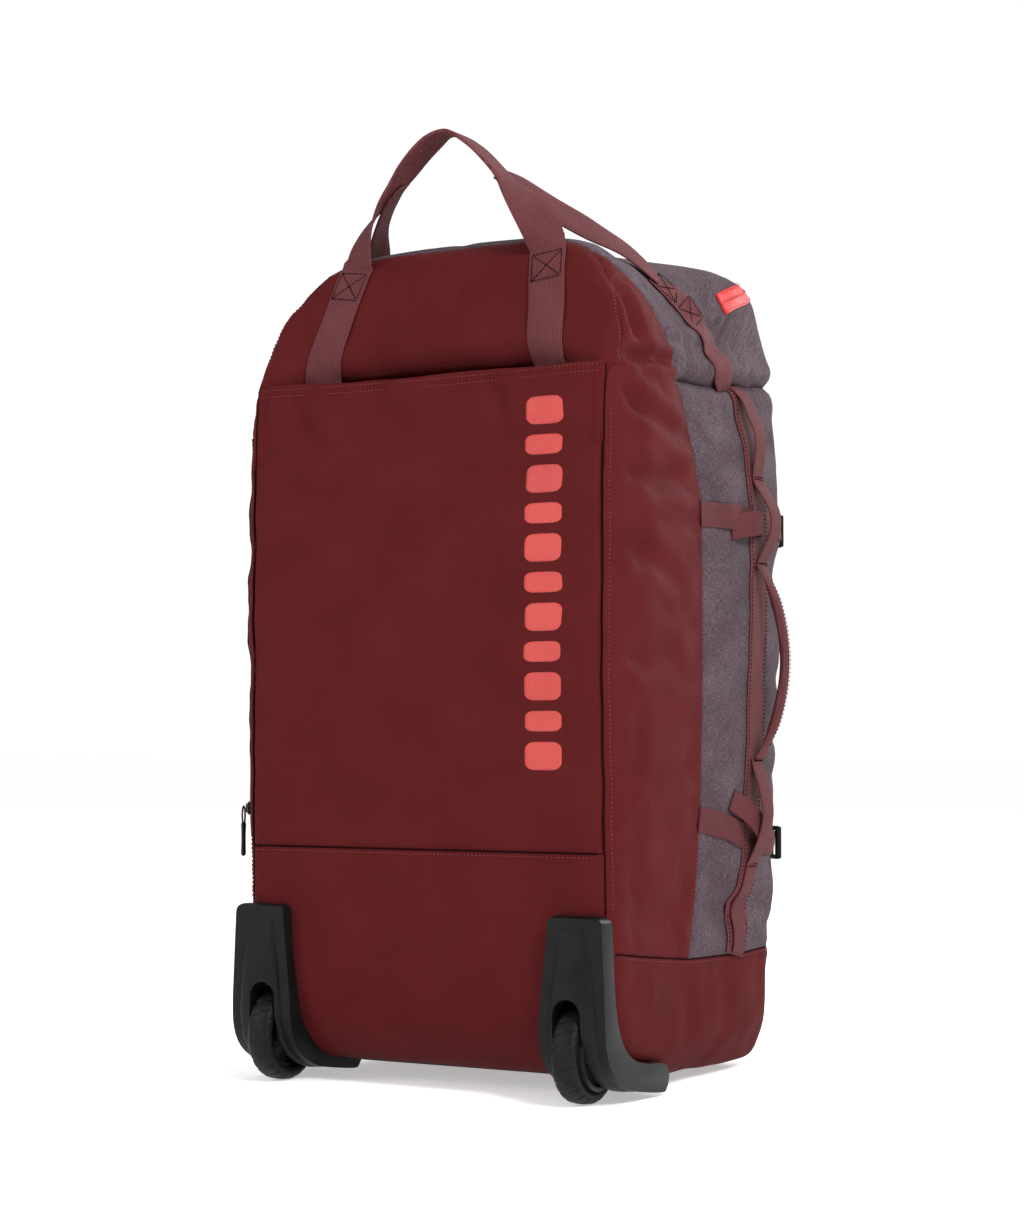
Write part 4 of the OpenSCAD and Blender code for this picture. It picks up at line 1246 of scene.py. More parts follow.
def corner_line(z, sign):
    """Round the front corner at one height, from the side to just short of the lid."""
    out = []
    for a in np.linspace(10, 60, 5):
        c = np.array([sign * 166, 152, z])
        d = np.array([sign * math.cos(math.radians(a)), math.sin(math.radians(a)), 0])
        out.append(on_skin(c + d * 60, -d, reach=20)[0])
    return out


for sign, word in SIDES:
    for level, route in STRAPS.items():
        path = [side_point(y, z, sign) for y, z in route] + corner_line(route[-1][1], sign)
        dense = smooth_line(path, 5)
        seen_y = dense[:, 1]
        lift_line = np.where((seen_y > 86) & (seen_y < 136), 2.3, 0.0)
        calm(lift_line, 6)
        obj, *_ = laid_strap(f"{word}_{level}_strap", dense, 25, 1.5, [slim_webbing], raise_by=lift_line)
        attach(obj, "frame")
        if level == "upper":
            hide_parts(word + "_compression_straps")
    # loose tails, folded back over the straps
    for level, pts in (("upper", [(216, 136, 549), (222, 120, 549), (228, 105, 549), (230, 92, 548),
                                  (227, 77, 546),
                                  (221, 61, 543), (218.5, 55, 542), (219.5, 62, 543)]),
                       ("lower", [(215, 136, 229), (221, 120, 233), (227, 105, 241), (229, 92, 250),
                                  (226, 78, 260),
                                  (220, 64, 269), (217, 58, 273), (218, 64, 269)])):
        line = smooth_line([(sign * x, y, z) for x, y, z in pts], 5)
        turns = np.tile((0.0, 0.12, 1.0), (len(line), 1)) if level == "upper" else np.tile((0.0, 0.62,
                                                                                            0.78),
                                                                                            (len(line), 1))
        obj = strap(f"{word}_{level}_tail", line, turns, 25, 1.5, [slim_webbing])
        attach(obj, "frame")
print("compression straps")

# %% Ladder-lock buckles


def rounded_bar(bm, low, high, bevel=0.9):
    """A box with rounded edges, in millimetres."""
    size = [h - l for l, h in zip(low, high)]
    made = bmesh.ops.create_cube(bm, size=1.0)["verts"]
    for v in made:
        v.co = Vector([l + (c + 0.5) * s for l, s, c in zip(low, size, v.co)])
    edges = list({e for v in made for e in v.link_edges})
    bmesh.ops.bevel(bm, geom=edges, offset=min(bevel, min(size) * 0.45), segments=2, affect="EDGES")


def from_bmesh(name, bm, finishes, matrix=None):
    """An object from a bmesh in millimetres, placed by matrix, smooth but for its sharp edges."""
    for v in bm.verts:
        v.co = (matrix @ v.co if matrix else v.co) * MM
    mesh = bpy.data.meshes.new(name)
    bm.to_mesh(mesh)
    bm.free()
    for f in finishes:
        mesh.materials.append(f)
    mesh.polygons.foreach_set("use_smooth", [True] * len(mesh.polygons))
    mesh.set_sharp_from_angle(angle=math.radians(40))
    obj = bpy.data.objects.new(name, mesh)
    bpy.context.scene.collection.objects.link(obj)
    return obj


for sign, word in SIDES:
    for z in (548, 226):
        d = Vector((sign * math.cos(math.radians(52)), math.sin(math.radians(52)), 0))
        hit, _ = on_skin(np.array([sign * 166, 152, z]) + np.array(d) * 60, -np.array(d), reach=20)
        t = Vector((-d.y * sign, d.x * sign, 0)) * -1
        place_at = Matrix((( t.x, 0, d.x, hit[0] + d.x * 4.2), (t.y, 0, d.y, hit[1] + d.y * 4.2),
                           (0, 1, 0, z), (0, 0, 0, 1)))
        bm = bmesh.new()
        for low, high in (((-11, -17, -2.4), (11, -12.6, 2.4)), ((-11, 12.6, -2.4), (11, 17, 2.4)),
                          ((-11, -16, -2.2), (-7, 16, 2.2)), ((-2.6, -14, -2.4), (0.8, 14, 0.6)),
                          ((3.6, -14, -0.2), (6.4, 14, 2.6)), ((8, -16.5, -1.5), (12.5, 16.5, 3.4))):
            rounded_bar(bm, low, high)
        buckle = from_bmesh(f"{word}_buckle_{z}", bm, [black_plastic], place_at)
        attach(buckle, "frame")
    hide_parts(word + "_ladder_buckles")
print("buckles")

# %% [markdown]
# ## Zips
#
# A coil zip shows two woven tapes with a fine ridge of coils between them. The coils are short
# bars side by side, so they are made as one ridged tube along the seam line.


# %% Zip helpers
def coil(name, line, normals, radius, pitch, finish):
    """A ridged bead along a line: a tube whose radius goes up and down once for each coil."""
    run = even_line(line, pitch / 3)
    nearest = tree_of(line)
    up = np.array([normals[nearest.find(p)[1]] for p in run])
    way = directions(run)
    side = np.cross(way, up)
    side /= np.linalg.norm(side, axis=1, keepdims=True)
    m = 8
    points = []
    for i in range(len(run)):
        r = radius * (1.0 if i % 3 else 0.72)
        for j in range(m):
            a = 2 * math.pi * j / m
            points.append(run[i] + side[i] * math.cos(a) * r * 1.5 + up[i] * math.sin(a) * r)
    faces = [(i * m + j, (i + 1) * m + j, (i + 1) * m + (j + 1) % m, i * m + (j + 1) % m)
             for i in range(len(run) - 1) for j in range(m)]
    faces += [tuple(range(m)), tuple((len(run) - 1) * m + j for j in range(m))[::-1]]
    return piece(name, points, faces, [finish])


def front_point(x, z):
    return on_skin((x, 300, z), (0, -1, 0), reach=100)


def lid_edge(inset, spacing=6.0, foot=LID_LOW + 4):
    """The line of the lid's zip, up one side, across and down the other, moved in or out by inset."""
    half, top, r = LID_X - inset, LID_TOP - inset, 20 - inset
    pts = [(half, foot), (half, top - r)]
    pts += [(half - r + r * math.cos(a), top - r + r * math.sin(a)) for a in np.linspace(0.2, math.pi / 2, 6)]
    pts += [(-x, z) for x, z in pts[::-1]]
    flat = even_line(pts, spacing)
    hits = [front_point(x, z) for x, z in flat]
    return np.array([h[0] for h in hits]), np.array([h[1] for h in hits])


for word, body, inset, node in (("lid", "lid", 5.6, "lid_zip_tape"),
                                ("body", "frame", -5.6, "body_zip_tape")):
    points, normals = lid_edge(inset)
    flat_side = np.cross(normals, directions(points))
    tape = strap(word + "_zip_band", points + normals * 0.9, flat_side, 10, 0.9, [zip_tape])
    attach(tape, body)
    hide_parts(node)
    points, normals = lid_edge(1.6 if word == "lid" else -1.6)
    teeth = coil(word + "_zip_coil", points + normals * 1.4, normals, 1.0, 2.1, dark_plastic)
    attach(teeth, body)
print("lid zip")

# %% The coral zip along the top edge
top_path = []
for y, z in ((97, 772), (115, 779), (135, 786), (152, 791)):
    top_path.append(side_point(y, z))
top_path += [(170, 172, 793), (152, 188, 793), (110, 192, 793), (50, 193, 793), (0, 193, 793)]
top_path = np.array(top_path)
top_path = np.concatenate([top_path, (top_path * (-1, 1, 1))[-2::-1]])
coral, base, normal, side, height = laid_strap("top_zip_band", smooth_line(top_path, 8), 23, 1.0,
                                               [coral_zip], lift=0.2)
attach(coral, "frame")
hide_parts("top_zip_tape")
ridge = coil("top_zip_coil", base + normal * (height[:, None] + 1.5), normal, 0.9, 2.4, coral_zip)
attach(ridge, "frame")
for edge in (-1, 1):
    sew(base + normal * (height[:, None] + 1.25) + side * edge * 9.5, normal, colour="red")
print("coral zip", len(base), "rows")

# %% The short zip of the sleeve
sleeve_zip_line = [side_point(-156, z, -1) for z in np.arange(236, 640, 12)]
tape, base, normal, side, height = laid_strap("sleeve_zip_band", np.array(sleeve_zip_line), 15, 0.9,
                                              [zip_tape])
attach(tape, "frame")
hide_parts("sleeve_zip_tape")
teeth = coil("sleeve_zip_coil", base + normal * (height[:, None] + 1.4), normal, 0.9, 2.1, dark_plastic)
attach(teeth, "frame")
print("sleeve zip")


# %% Sliders and pulls
def tube(name, line, radius, finish, sides=8):
    """A round cord along a line."""
    line = np.asarray(line, float)
    way = directions(line)
    up = np.zeros_like(line)
    ref = np.array([0.31, 0.52, 0.79])
    for i in range(len(line)):
        ref = ref - way[i] * (ref @ way[i])
        ref /= np.linalg.norm(ref)
        up[i] = ref
    side = np.cross(way, up)
    r = per_point(radius, len(line))
    points = [line[i] + (side[i] * math.cos(a) + up[i] * math.sin(a)) * r[i]
              for i in range(len(line)) for a in np.linspace(0, 2 * math.pi, sides, endpoint=False)]
    faces = [(i * sides + j, i * sides + (j + 1) % sides, (i + 1) * sides + (j + 1) % sides,
              (i + 1) * sides + j)
             for i in range(len(line) - 1) for j in range(sides)]
    faces += [tuple(range(sides))[::-1], tuple((len(line) - 1) * sides + j for j in range(sides))]
    return piece(name, points, faces, [finish])


def zip_slider(name, body, at, out, up, node):
    """A slider body with a bridge: out points away from the cloth, up along the zip."""
    out, up = Vector(out).normalized(), Vector(up).normalized()
    side = up.cross(out)
    m = Matrix(((side.x, up.x, out.x, at[0]), (side.y, up.y, out.y, at[1]), (side.z, up.z, out.z, at[2]),
                (0, 0, 0, 1)))
    bm = bmesh.new()
    rounded_bar(bm, (-4.4, -6.5, 2.2), (4.4, 6.5, 4.6), 1.0)
    rounded_bar(bm, (-1.5, -4.5, 4.2), (1.5, -2.6, 7.2), 0.5)
    rounded_bar(bm, (-1.5, 2.6, 4.2), (1.5, 4.5, 7.2), 0.5)
    rounded_bar(bm, (-1.5, -4.5, 6.6), (1.5, 4.5, 8.4), 0.6)
    obj = from_bmesh(name, bm, [slider_metal], m)
    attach(obj, body)
    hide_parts(node)


def zip_pull(name, body, pivot, out, node, drop=(0, 0, -1)):
    """A loop of cord through the slider, held in a moulded grip that hangs from it."""
    pivot, out, drop = np.array(pivot), np.array(out, float), np.array(drop, float)
    side = np.cross(out, drop)
    loop = [pivot + drop * 16 + side * 1.4, pivot + drop * 8 + side * 2.4, pivot + side * 1.7 + drop * 1.0,
            pivot - drop * 1.6, pivot - side * 1.7 + drop * 1.0, pivot + drop * 8 - side * 2.4,
            pivot + drop * 16 - side * 1.4]
    cord_loop = tube(name + "_loop", smooth_line(loop, 6), 0.95, slim_webbing)
    n = 15
    body_line = np.array([pivot + drop * (13.5 + 34 * i / (n - 1)) for i in range(n)])
    t = np.linspace(0, 1, n)
    wide = 6.6 - 1.2 * np.sin(math.pi * t) ** 2
    wide[0], wide[-1] = 4.0, 4.6
    thick = 4.2 - 0.5 * np.sin(math.pi * t)
    thick[0], thick[-1] = 2.6, 2.8
    grip = strap(name + "_grip", body_line, np.tile(side, (n, 1)), wide, thick, [dark_plastic], section=ROLL)
    for obj in (cord_loop, grip):
        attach(obj, body)
    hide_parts(node)


for sign, word in SIDES:
    hit, normal = front_point(sign * 170.5, 134)
    zip_slider(word + "_lid_slider", word + "_slider", (sign * 170.6, hit[1] - 1.0, 134), (0, 1, 0.02),
               (0, 0.02, 1),
               word + "_zip_slider")
    box_low, box_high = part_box(word + "_zip_pull")
    centre = (box_low + box_high) / 2 / MM
    zip_pull(word + "_lid_pull", word + "_pull", (centre.x, centre.y, 134), (0, 1, 0), word + "_zip_pull")
low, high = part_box("top_zip_pull")
centre = (low + high) / 2 / MM
hit, normal = front_point(-120, 792)
zip_slider("top_slider_body", "top_slider", hit, normal, (1, 0, 0), "top_zip_slider")
zip_pull("top_pull_tab", "top_pull", (centre.x, centre.y, high.z / MM), (0, 1, 0), "top_zip_pull")
low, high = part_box("sleeve_zip_pull")
centre = (low + high) / 2 / MM
hit = side_point(-156, 264, -1)
zip_slider("sleeve_slider_body", "sleeve_slider", (hit[0] + 0.5, -156, 264), (-1, 0, 0), (0, 0, 1),
           "sleeve_zip_slider")
zip_pull("sleeve_pull_tab", "sleeve_pull", (centre.x, centre.y, 264), (-1, 0, 0), "sleeve_zip_pull")
print("sliders and pulls")

# %% [markdown]
# ## Seam stitching on the body
#
# A row of red stitches runs beside each main seam, and a dark cord half sunk in the seam is
# painted shade: it stands for the line of shadow there. Both take their course from the tables
# that cut the panels, and rays drop them onto the skin, so they follow the stuffed shape.


# %% Stitch along the seams
def from_behind(x, z):
    """The point of the skin seen from behind at x and z."""
    return on_skin((x, -220, z), (0, 1, 0), reach=20)[0]


def boot_top(y):
    return np.interp(y, *zip(*BOOT_TOP))


def stitch_beside(points_of, values):
    """Stitches along points_of(value), laid on the skin."""
    sew_on_skin(np.array([points_of(v) for v in values]), colour="red")


for sign in (1, -1):
    stitch_beside(lambda z: side_point(along(z, RED_GREY) - 3.2, z, sign), np.arange(128, 780, 6))
    stitch_beside(lambda y: side_point(y, boot_top(y) - 3.4, sign), np.arange(-150, 176, 6))
    stitch_beside(lambda z: from_behind(sign * 201, z), np.arange(176, 640, 6))
    stitch_beside(lambda z: side_point(along(z, BACK_EDGE) - 4.0, z, sign), np.arange(694, 796, 6))
stitch_beside(lambda x: from_behind(x, SLEEVE_LOW - 3.6), np.arange(-194, 195, 6))
hem_x = np.arange(-190, 191, 5)
for row in (HEM_TOP - 3.5, HEM_TOP - 10):
    sew([(x, sleeve_face(x, row) - 0.2, row - 3 * (1 - (x / 193) ** 2)) for x in hem_x],
        [(0, -1, 0)] * len(hem_x))


def seam_cord(name, points):
    """Painted shade along a sewn edge: a thin dark cord half sunk between two panels."""
    hits = [skin_tree.find_nearest(Vector(p)) for p in even_line(points, 4)]
    cord = tube(name, [np.array(h[0]) - 0.2 * np.array(h[1]) for h in hits], 0.85, dark_thread_and_seam_shade, sides=6)
    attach(cord, "frame")


# Painted shade: dark cords down the sleeve's sides, along the boot seams and across the sleeve's foot.
for sign, word in SIDES:
    seam_cord(word + "_sleeve_seam_shade", [from_behind(sign * 195.5, z) for z in range(174, 680, 12)])
    seam_cord(word + "_boot_seam", [side_point(y, boot_top(y), sign) for y in range(-160, 186, 12)])
seam_cord("sleeve_low_seam_shade", [from_behind(x, SLEEVE_LOW) for x in range(-194, 195, 12)])
print("seam stitches")

# %% Join the stitches
for (body, colour), blocks in stitch_store.items():
    points = np.concatenate(blocks)
    count = len(points) // 6
    faces = (np.array(SPINDLE)[None] + 6 * np.arange(count)[:, None, None]).reshape(-1, 3)
    finish, slot_name = STITCH_SLOTS[colour]
    threads = piece(f"{body}_{colour}_stitches", points, faces, [finish])
    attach(threads, body)
    print(body, colour, count, "stitches")

# %% [markdown]
# ## The printed trim
#
# Down the sleeve runs a coral print. Here it is a plain row of rounded bars: flat, thin as ink,
# and laid on the sleeve's own face.

# %% Printed bars
sleeve_tree = BVHTree.FromPolygons([tuple(p) for p in sleeve_points], sleeve_faces)
BARS, BAR_X, BAR_HALF, BAR_GAP, ROUNDING = 11, 137.0, 19.5, 9.5, 0.42
ACROSS, UP = 15, 11  # points of the grid on one bar
bars_points, bars_faces = [], []
z = 304.0
for index in range(BARS):
    half_high = (13.0, 9.5)[index % 2]
    first = len(bars_points)
    for v in np.linspace(-1, 1, UP):
        for u in np.linspace(-1, 1, ACROSS):
            x = BAR_X + BAR_HALF * u * math.sqrt(1 - ROUNDING * v**6 * 0.5)
            high = z + half_high + half_high * v * math.sqrt(1 - ROUNDING * u**6 * 0.9)
            hit = sleeve_tree.ray_cast(Vector((x, -260, high)), Vector((0, 1, 0)))
            bars_points.append((x, hit[0].y - 0.35, high))
    corners = [first + r * ACROSS + c for r in range(UP - 1) for c in range(ACROSS - 1)]
    bars_faces += [(k, k + 1, k + ACROSS + 1, k + ACROSS) for k in corners]
    z += 2 * half_high + BAR_GAP
print_bars = piece("printed_bars", bars_points, bars_faces, [coral_print], np.array(bars_points)[:, [0, 2]])
thicken(print_bars, 0.2, inner_slot=0)
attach(print_bars, "frame")
print("printed bars up to", round(z), "mm")

# %% [markdown]
# ## Wheel housings
#
# Each housing is a moulded guard that wraps the lower back edge. Its outline from the side is
# drawn out across the wheel, trimmed to its outline from behind, and its edges are rounded. A
# rib stiffens the back face, and a closed well takes the wheel. All of it is joined and cut with
# booleans, which are quick and exact on such clean shapes.

# %% Shapes for the wheel housings
WHEEL_MID = 168.0
GUARD_BACK = smooth_line([(-186, 172), (-189, 170), (-190, 164), (-190, 110), (-190, 78), (-188.5, 56),
                          (-183, 41),
                          (-173, 29), (-158, 19.5), (-140, 12.5), (-116, 8), (-76, 3), (-68, 5)], 5)
GUARD_SIDE = np.concatenate([  # (y, z), down the back, under the bag to the foot, and up again inside
    GUARD_BACK[:-1],
    smooth_line([(-64.5, 9), (-62.5, 18), (-68, 27.5), (-84, 31), (-106, 33), (-130, 38), (-150, 50),
                 (-163, 70),
                 (-168, 94), (-169, 130), (-169, 160), (-171, 169), (-176, 172)], 5)])
GUARD_FACE = np.concatenate([  # (x, z), seen from behind
    [(138.5, 2), (137.5, 40), (138, 80), (142, 120), (146, 155)],
    [(155 + 9 * math.cos(a), 163.5 + 9 * math.sin(a)) for a in np.linspace(math.pi, math.pi / 2, 6)],
    [(193.5 + 9 * math.cos(a), 163.5 + 9 * math.sin(a)) for a in np.linspace(math.pi / 2, 0, 6)],
    [(204, 130), (206, 80), (206.5, 40), (206.5, 2)]])


def prism(name, outline, axis, low, high):
    """A flat outline drawn out from low to high along x or y."""
    bm = bmesh.new()
    make = {"x": lambda d, a, b: (d, a, b), "y": lambda d, a, b: (a, d, b)}[axis]
    first = [bm.verts.new(make(low, *p)) for p in outline]
    last = [bm.verts.new(make(high, *p)) for p in outline]
    bm.faces.new(first)
    bm.faces.new(last[::-1])
    for j in range(len(outline)):
        k = (j + 1) % len(outline)
        bm.faces.new((first[j], last[j], last[k], first[k]))
    bmesh.ops.recalc_face_normals(bm, faces=bm.faces)
    return from_bmesh(name, bm, [black_plastic])


def ring_of(cx, cy, radius, count=48):
    return [(cx + radius * math.cos(a), cy + radius * math.sin(a))
            for a in np.linspace(0, 2 * math.pi, count, endpoint=False)]


def boolean(obj, other, operation):
    mod = obj.modifiers.new("cut", "BOOLEAN")
    mod.operation, mod.object, mod.solver = operation, other, "EXACT"
    done = bpy.data.meshes.new_from_object(obj.evaluated_get(bpy.context.evaluated_depsgraph_get()))
    obj.modifiers.clear()
    obj.data = done
    bpy.data.objects.remove(other)


def along_guard(rows, inside=3.0):
    """A raised rib down the back of the guard: rows are (distance down, left, right, height)."""
    way = directions(GUARD_SIDE[:60])
    run = np.concatenate([[0], np.cumsum(np.linalg.norm(np.diff(GUARD_SIDE[:60], axis=0), axis=1))])
    bm = bmesh.new()
    prev = None
    for s, left, right, proud in rows:
        q = np.array([np.interp(s, run, GUARD_SIDE[:60, i]) for i in (0, 1)])
        d = np.array([np.interp(s, run, way[:, i]) for i in (0, 1)])
        n = np.array([d[1], -d[0]]) / np.linalg.norm(d)
        ring = [bm.verts.new((x, *(q + n * h))) for x, h in (
            (left, -inside), (left, 0.1), (left + 1.6, proud * 0.8), (left + 3.2, proud),
            (right - 4.5, proud),
            (right - 2.2, proud * 0.75), (right, 0.1), (right, -inside))]
        if prev:
            for j in range(8):
                k = (j + 1) % 8
                bm.faces.new((prev[j], prev[k], ring[k], ring[j]))
        else:
            bm.faces.new(ring)
        prev = ring
    bm.faces.new(prev[::-1])
    bmesh.ops.recalc_face_normals(bm, faces=bm.faces)
    return from_bmesh("rib", bm, [black_plastic])


# %% Wheel housings
guard = prism("guard", GUARD_SIDE, "x", 130, 215)
boolean(guard, prism("face", GUARD_FACE, "y", -230, -20), "INTERSECT")
round_off = guard.modifiers.new("round_off", "BEVEL")
round_off.width, round_off.segments, round_off.limit_method = 5.5 * MM, 4, "ANGLE"
round_off.angle_limit = math.radians(50)
RIB = [(14, 158.5, 184, 0.4), (26, 157.5, 186.5, 1.6), (42, 155.5, 190, 2.8), (60, 153, 193, 3.6),
       (84, 150.5, 195.5, 4.0),
       (108, 149, 197, 4.0), (132, 148.5, 198, 3.6), (152, 148.5, 198.5, 3.2), (172, 148.5, 199, 2.6),
       (192, 148.5, 199, 1.6),
       (210, 149, 199, 0.4)]
boolean(guard, along_guard(RIB), "UNION")
well = prism("well", ring_of(AXLE_Y, AXLE_Z, 53), "x", WHEEL_MID - 17, WHEEL_MID + 17)
boolean(well, prism("outside", [*(GUARD_BACK + (0.7, 0.7)), (-67, -40), (-260, -40), (-260, 172)], "x", 100,
                    240),
        "DIFFERENCE")
boolean(guard, well, "UNION")
boolean(guard, prism("below", [(120, -30), (230, -30), (230, 1.6), (120, 1.6)], "y", -260, 20), "DIFFERENCE")
boolean(guard, prism("room", ring_of(AXLE_Y, AXLE_Z, 49.5), "x", WHEEL_MID - 14.2, WHEEL_MID + 14.2),
        "DIFFERENCE")
slot = [(WHEEL_MID - 14.3, -8), (WHEEL_MID + 18, -8), (WHEEL_MID + 15.5, 40)] + [
    (WHEEL_MID + 14.3 * math.cos(a), 83 + 14.3 * math.sin(a)) for a in np.linspace(0, math.pi, 17)]
boolean(guard, prism("slot", slot, "y", -230, -158), "DIFFERENCE")
boolean(guard, prism("slot_foot", [(WHEEL_MID - 14.3, -8), (WHEEL_MID + 18, -8), (WHEEL_MID + 16.5, 20),
                                   (WHEEL_MID - 14.3, 20)], "y", -160, -118), "DIFFERENCE")
soft = guard.modifiers.new("soft_edges", "BEVEL")
soft.width, soft.segments, soft.limit_method = 1.2 * MM, 2, "ANGLE"
soft.angle_limit = math.radians(38)
soft.use_clamp_overlap = True
guard.data.polygons.foreach_set("use_smooth", [True] * len(guard.data.polygons))
guard.data.set_sharp_from_angle(angle=math.radians(38))
print("guard faces", len(guard.data.polygons))

# %% Both housings
for sign, word in SIDES:
    if sign > 0:
        housing = guard
        housing.name = "right_housing"
    else:
        housing = bpy.data.objects.new("left_housing", guard.data.copy())
        housing.data.transform(Matrix.Diagonal((-1, 1, 1, 1)))
        housing.data.flip_normals()
        bpy.context.scene.collection.objects.link(housing)
    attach(housing, "frame")
    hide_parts(word + "_wheel_housing")
print("housings placed")

# %% [markdown]
# ## Wheels
#
# The tyre is a soft ring with shallow cross grooves. It is turned from a section, and each groove
# is pressed in by moving the points that lie in it, which keeps the mesh simple.


# %% Tyres
GROOVE = 0.9
TYRE_HALF = [(0, 46), (4, 45.9), (8.5, 45.2), (11.5, 43), (12.8, 40), (12.6, 37),
             (11, 34)]  # (from its middle, radius)


def tyre_mesh(name, x_mid):
    """A ring turned from the tyre's section, with slanted grooves across it."""
    section = smooth_line([(-s, r) for s, r in TYRE_HALF[:0:-1]] + TYRE_HALF, 2)
    n, m = 216, len(section)
    points = []
    for i in range(n):
        a = 2 * math.pi * i / n
        for s, r in section:
            grooved = i % 9 in (0, 1) and abs(s) > 2.2 and r > 40
            out = r - (GROOVE if grooved else 0.0)
            slant = a + 0.008 * s
            points.append((x_mid + s, AXLE_Y + out * math.sin(slant), AXLE_Z + out * math.cos(slant)))
    faces = [(i * m + j, i * m + j + 1, ((i + 1) % n) * m + j + 1, ((i + 1) % n) * m + j)
             for i in range(n) for j in range(m - 1)]
    faces += [(i * m + m - 1, i * m, ((i + 1) % n) * m, ((i + 1) % n) * m + m - 1) for i in range(n)]
    obj = piece(name, points, faces, [tyre_rubber])
    face_out(obj)
    obj.data.set_sharp_from_angle(angle=math.radians(50))
    return obj


for sign, word in SIDES:
    ring = tyre_mesh(word + "_tread", sign * WHEEL_MID)
    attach(ring, word + "_wheel")
    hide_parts(word + "_tyre")
print("tyres")

# %% [markdown]
# ## Inside the lid
#
# Behind the lid lie the padded back wall, its stiff board and a mesh pocket. They are only seen
# with the lid open, but the back wall is cloth, so it gets a soft, slightly quilted face.


# %% Back wall and mesh pocket
def soft_sheet(name, x0, x1, z0, z1, y_of, finishes, nx=40, nz=60):
    xs, zs = np.linspace(x0, x1, nx), np.linspace(z0, z1, nz)
    points = [(x, y_of(x, z), z) for z in zs for x in xs]
    faces = [(r * nx + c, r * nx + c + 1, (r + 1) * nx + c + 1, (r + 1) * nx + c)
             for r in range(nz - 1) for c in range(nx - 1)]
    return piece(name, points, faces, finishes, [(p[0], p[2]) for p in points])


def wall_depth(x, z):
    edge = min(194 - abs(x), z - 44, 679 - z)
    return -149.0 + 0.6 * math.sin(x / 28) * math.sin(z / 41) * float(ease(edge, 4, 40))


back_wall = soft_sheet("back_wall_lining", -193, 193, 100, 679, wall_depth, [lining])
thicken(back_wall, 2.6, inner_slot=0, offset=1.0)
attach(back_wall, "frame")
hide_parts("inner_back_wall")

mesh_knit = ribbed("mesh_knit", (0.004, 0.004, 0.004), (0.02, 0.02, 0.02), (0.07, 0.07, 0.07), 3.0, 3.0,
                   0.001, 0.7)


LID_INSIDE = 4.0  # from the skin to the net, through the lid's cloth
NET_HALF, NET_LOW, NET_TOP = 145, 190, 560


def pocket_depth(x, z):
    """The net follows the lid and bags a little in its middle."""
    across = (x + NET_HALF) / (2 * NET_HALF)
    bagging = math.sin(math.pi * across) * math.sin(math.pi * (z - NET_LOW) / (NET_TOP - NET_LOW))
    return on_skin((x, 200, z), (0, -1, 0))[0][1] - LID_INSIDE - 2.5 * bagging


pocket = soft_sheet("lid_pocket", -NET_HALF, NET_HALF, NET_LOW, NET_TOP, pocket_depth, [mesh_knit], 30, 40)
thicken(pocket, 0.8, inner_slot=0)
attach(pocket, "lid")
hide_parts("lid_mesh_pocket")
print("inside pieces")

# %% [markdown]
# ## Finishes for the parts that keep their CAD shape
#
# Tubes, brackets, hubs, bearings and screws are turned or moulded parts whose CAD shape is
# already right, so they only get their finish and a fine rounding of their edges.

# %% Finishes for the carried-over parts
KEPT = {
    tube_metal: ["right_outer_tube", "left_outer_tube", "middle_tubes", "inner_tubes", "push_rods"],
    black_plastic: ["handle_foot_bracket", "handle_top_bracket", "front_feet"],
    dark_plastic: ["middle_collars", "handle_grip", "right_hub", "left_hub"],
    grey_plastic: ["release_button"],
    steel: ["right_bearings", "left_bearings", "right_axle", "left_axle", "housing_screws"],
    stiff_board: ["back_board", "base_board"],
}
for finish, names in KEPT.items():
    for name in names:
        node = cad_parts[name]
        node.data.materials.clear()
        node.data.materials.append(finish)
        if name not in ("back_board", "base_board"):
            edge = node.modifiers.new("soft_edges", "BEVEL")
            edge.width = 0.0006
            edge.segments = 2
            edge.limit_method = "ANGLE"
            edge.angle_limit = math.radians(50)
print(sum(len(n) for n in KEPT.values()), "parts finished")

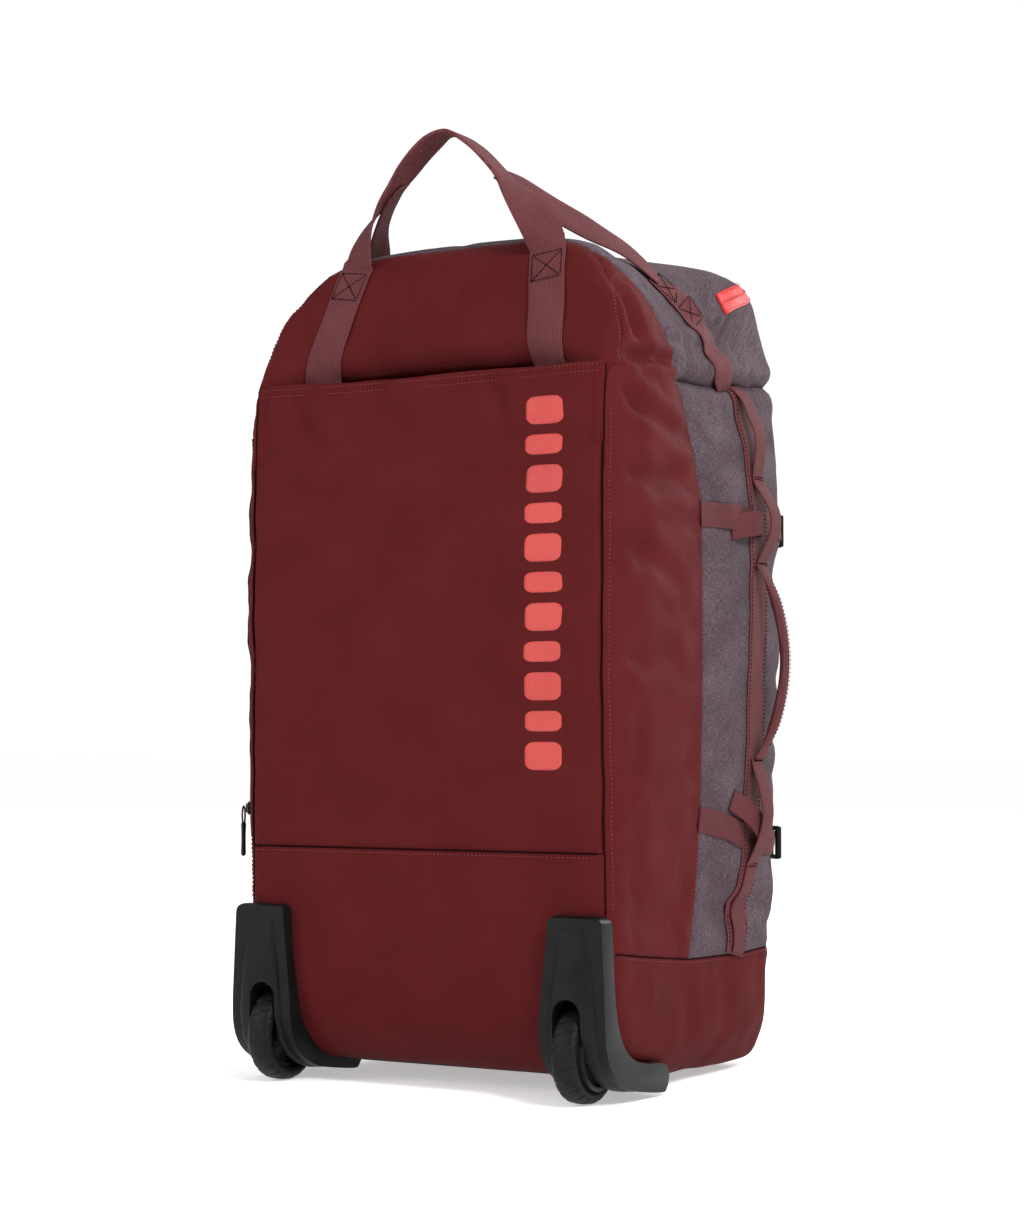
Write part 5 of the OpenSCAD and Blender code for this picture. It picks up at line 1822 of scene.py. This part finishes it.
# %% [markdown]
# ## Floor, light and world
#
# The bag stands on a pale floor in soft, even light: a strong lamp high on the right of the
# camera, a weaker one on the left, two more above and behind the bag, and a bright world, so that
# the shadow under it stays short.

# %% Floor, light and world
floor_mesh = bpy.data.meshes.new("floor")
floor_mesh.from_pydata([(-30, -30, 0), (30, -30, 0), (30, 30, 0), (-30, 30, 0)], [], [(0, 1, 2, 3)])
floor = bpy.data.objects.new("floor", floor_mesh)
floor.location.z = -0.0006
floor_finish = Finish("floor_finish", 0.85)
floor_finish.shader.inputs["Base Color"].default_value = (0.9, 0.9, 0.9, 1)
floor_finish.shader.inputs["Emission Color"].default_value = (1, 1, 1, 1)
floor_finish.shader.inputs["Emission Strength"].default_value = 0.42
floor_mesh.materials.append(floor_finish.material)
bpy.context.scene.collection.objects.link(floor)

world = bpy.data.worlds.new("studio")
world.use_nodes = True
tree = world.node_tree
room = tree.nodes["Background"]
room.inputs["Color"].default_value = (1, 1, 1, 1)
room.inputs["Strength"].default_value = 0.62
backdrop = tree.nodes.new("ShaderNodeBackground")
backdrop.inputs["Color"].default_value = (1, 1, 1, 1)
backdrop.inputs["Strength"].default_value = 1.05
seen = tree.nodes.new("ShaderNodeLightPath")
choose = tree.nodes.new("ShaderNodeMixShader")
tree.links.new(seen.outputs["Is Camera Ray"], choose.inputs[0])
tree.links.new(room.outputs[0], choose.inputs[1])
tree.links.new(backdrop.outputs[0], choose.inputs[2])
tree.links.new(choose.outputs[0], tree.nodes["World Output"].inputs["Surface"])
bpy.context.scene.world = world


def lamp(name, location, power, size):
    light = bpy.data.lights.new(name, "AREA")
    light.energy, light.size = power, size
    obj = bpy.data.objects.new(name, light)
    obj.location = location
    obj.rotation_euler = (Vector((0, 0, 0.42)) - Vector(location)).to_track_quat("-Z", "Y").to_euler()
    bpy.context.scene.collection.objects.link(obj)


lamp("key", (2.6, -1.5, 2.6), 105, 0.9)
lamp("fill", (-2.0, -2.8, 1.6), 42, 1.2)
lamp("top", (0.2, 1.0, 3.2), 50, 1.2)
lamp("lid_side", (1.2, 3.4, 1.8), 60, 1.4)
bpy.context.scene.view_settings.view_transform = "Standard"
print("stage set")
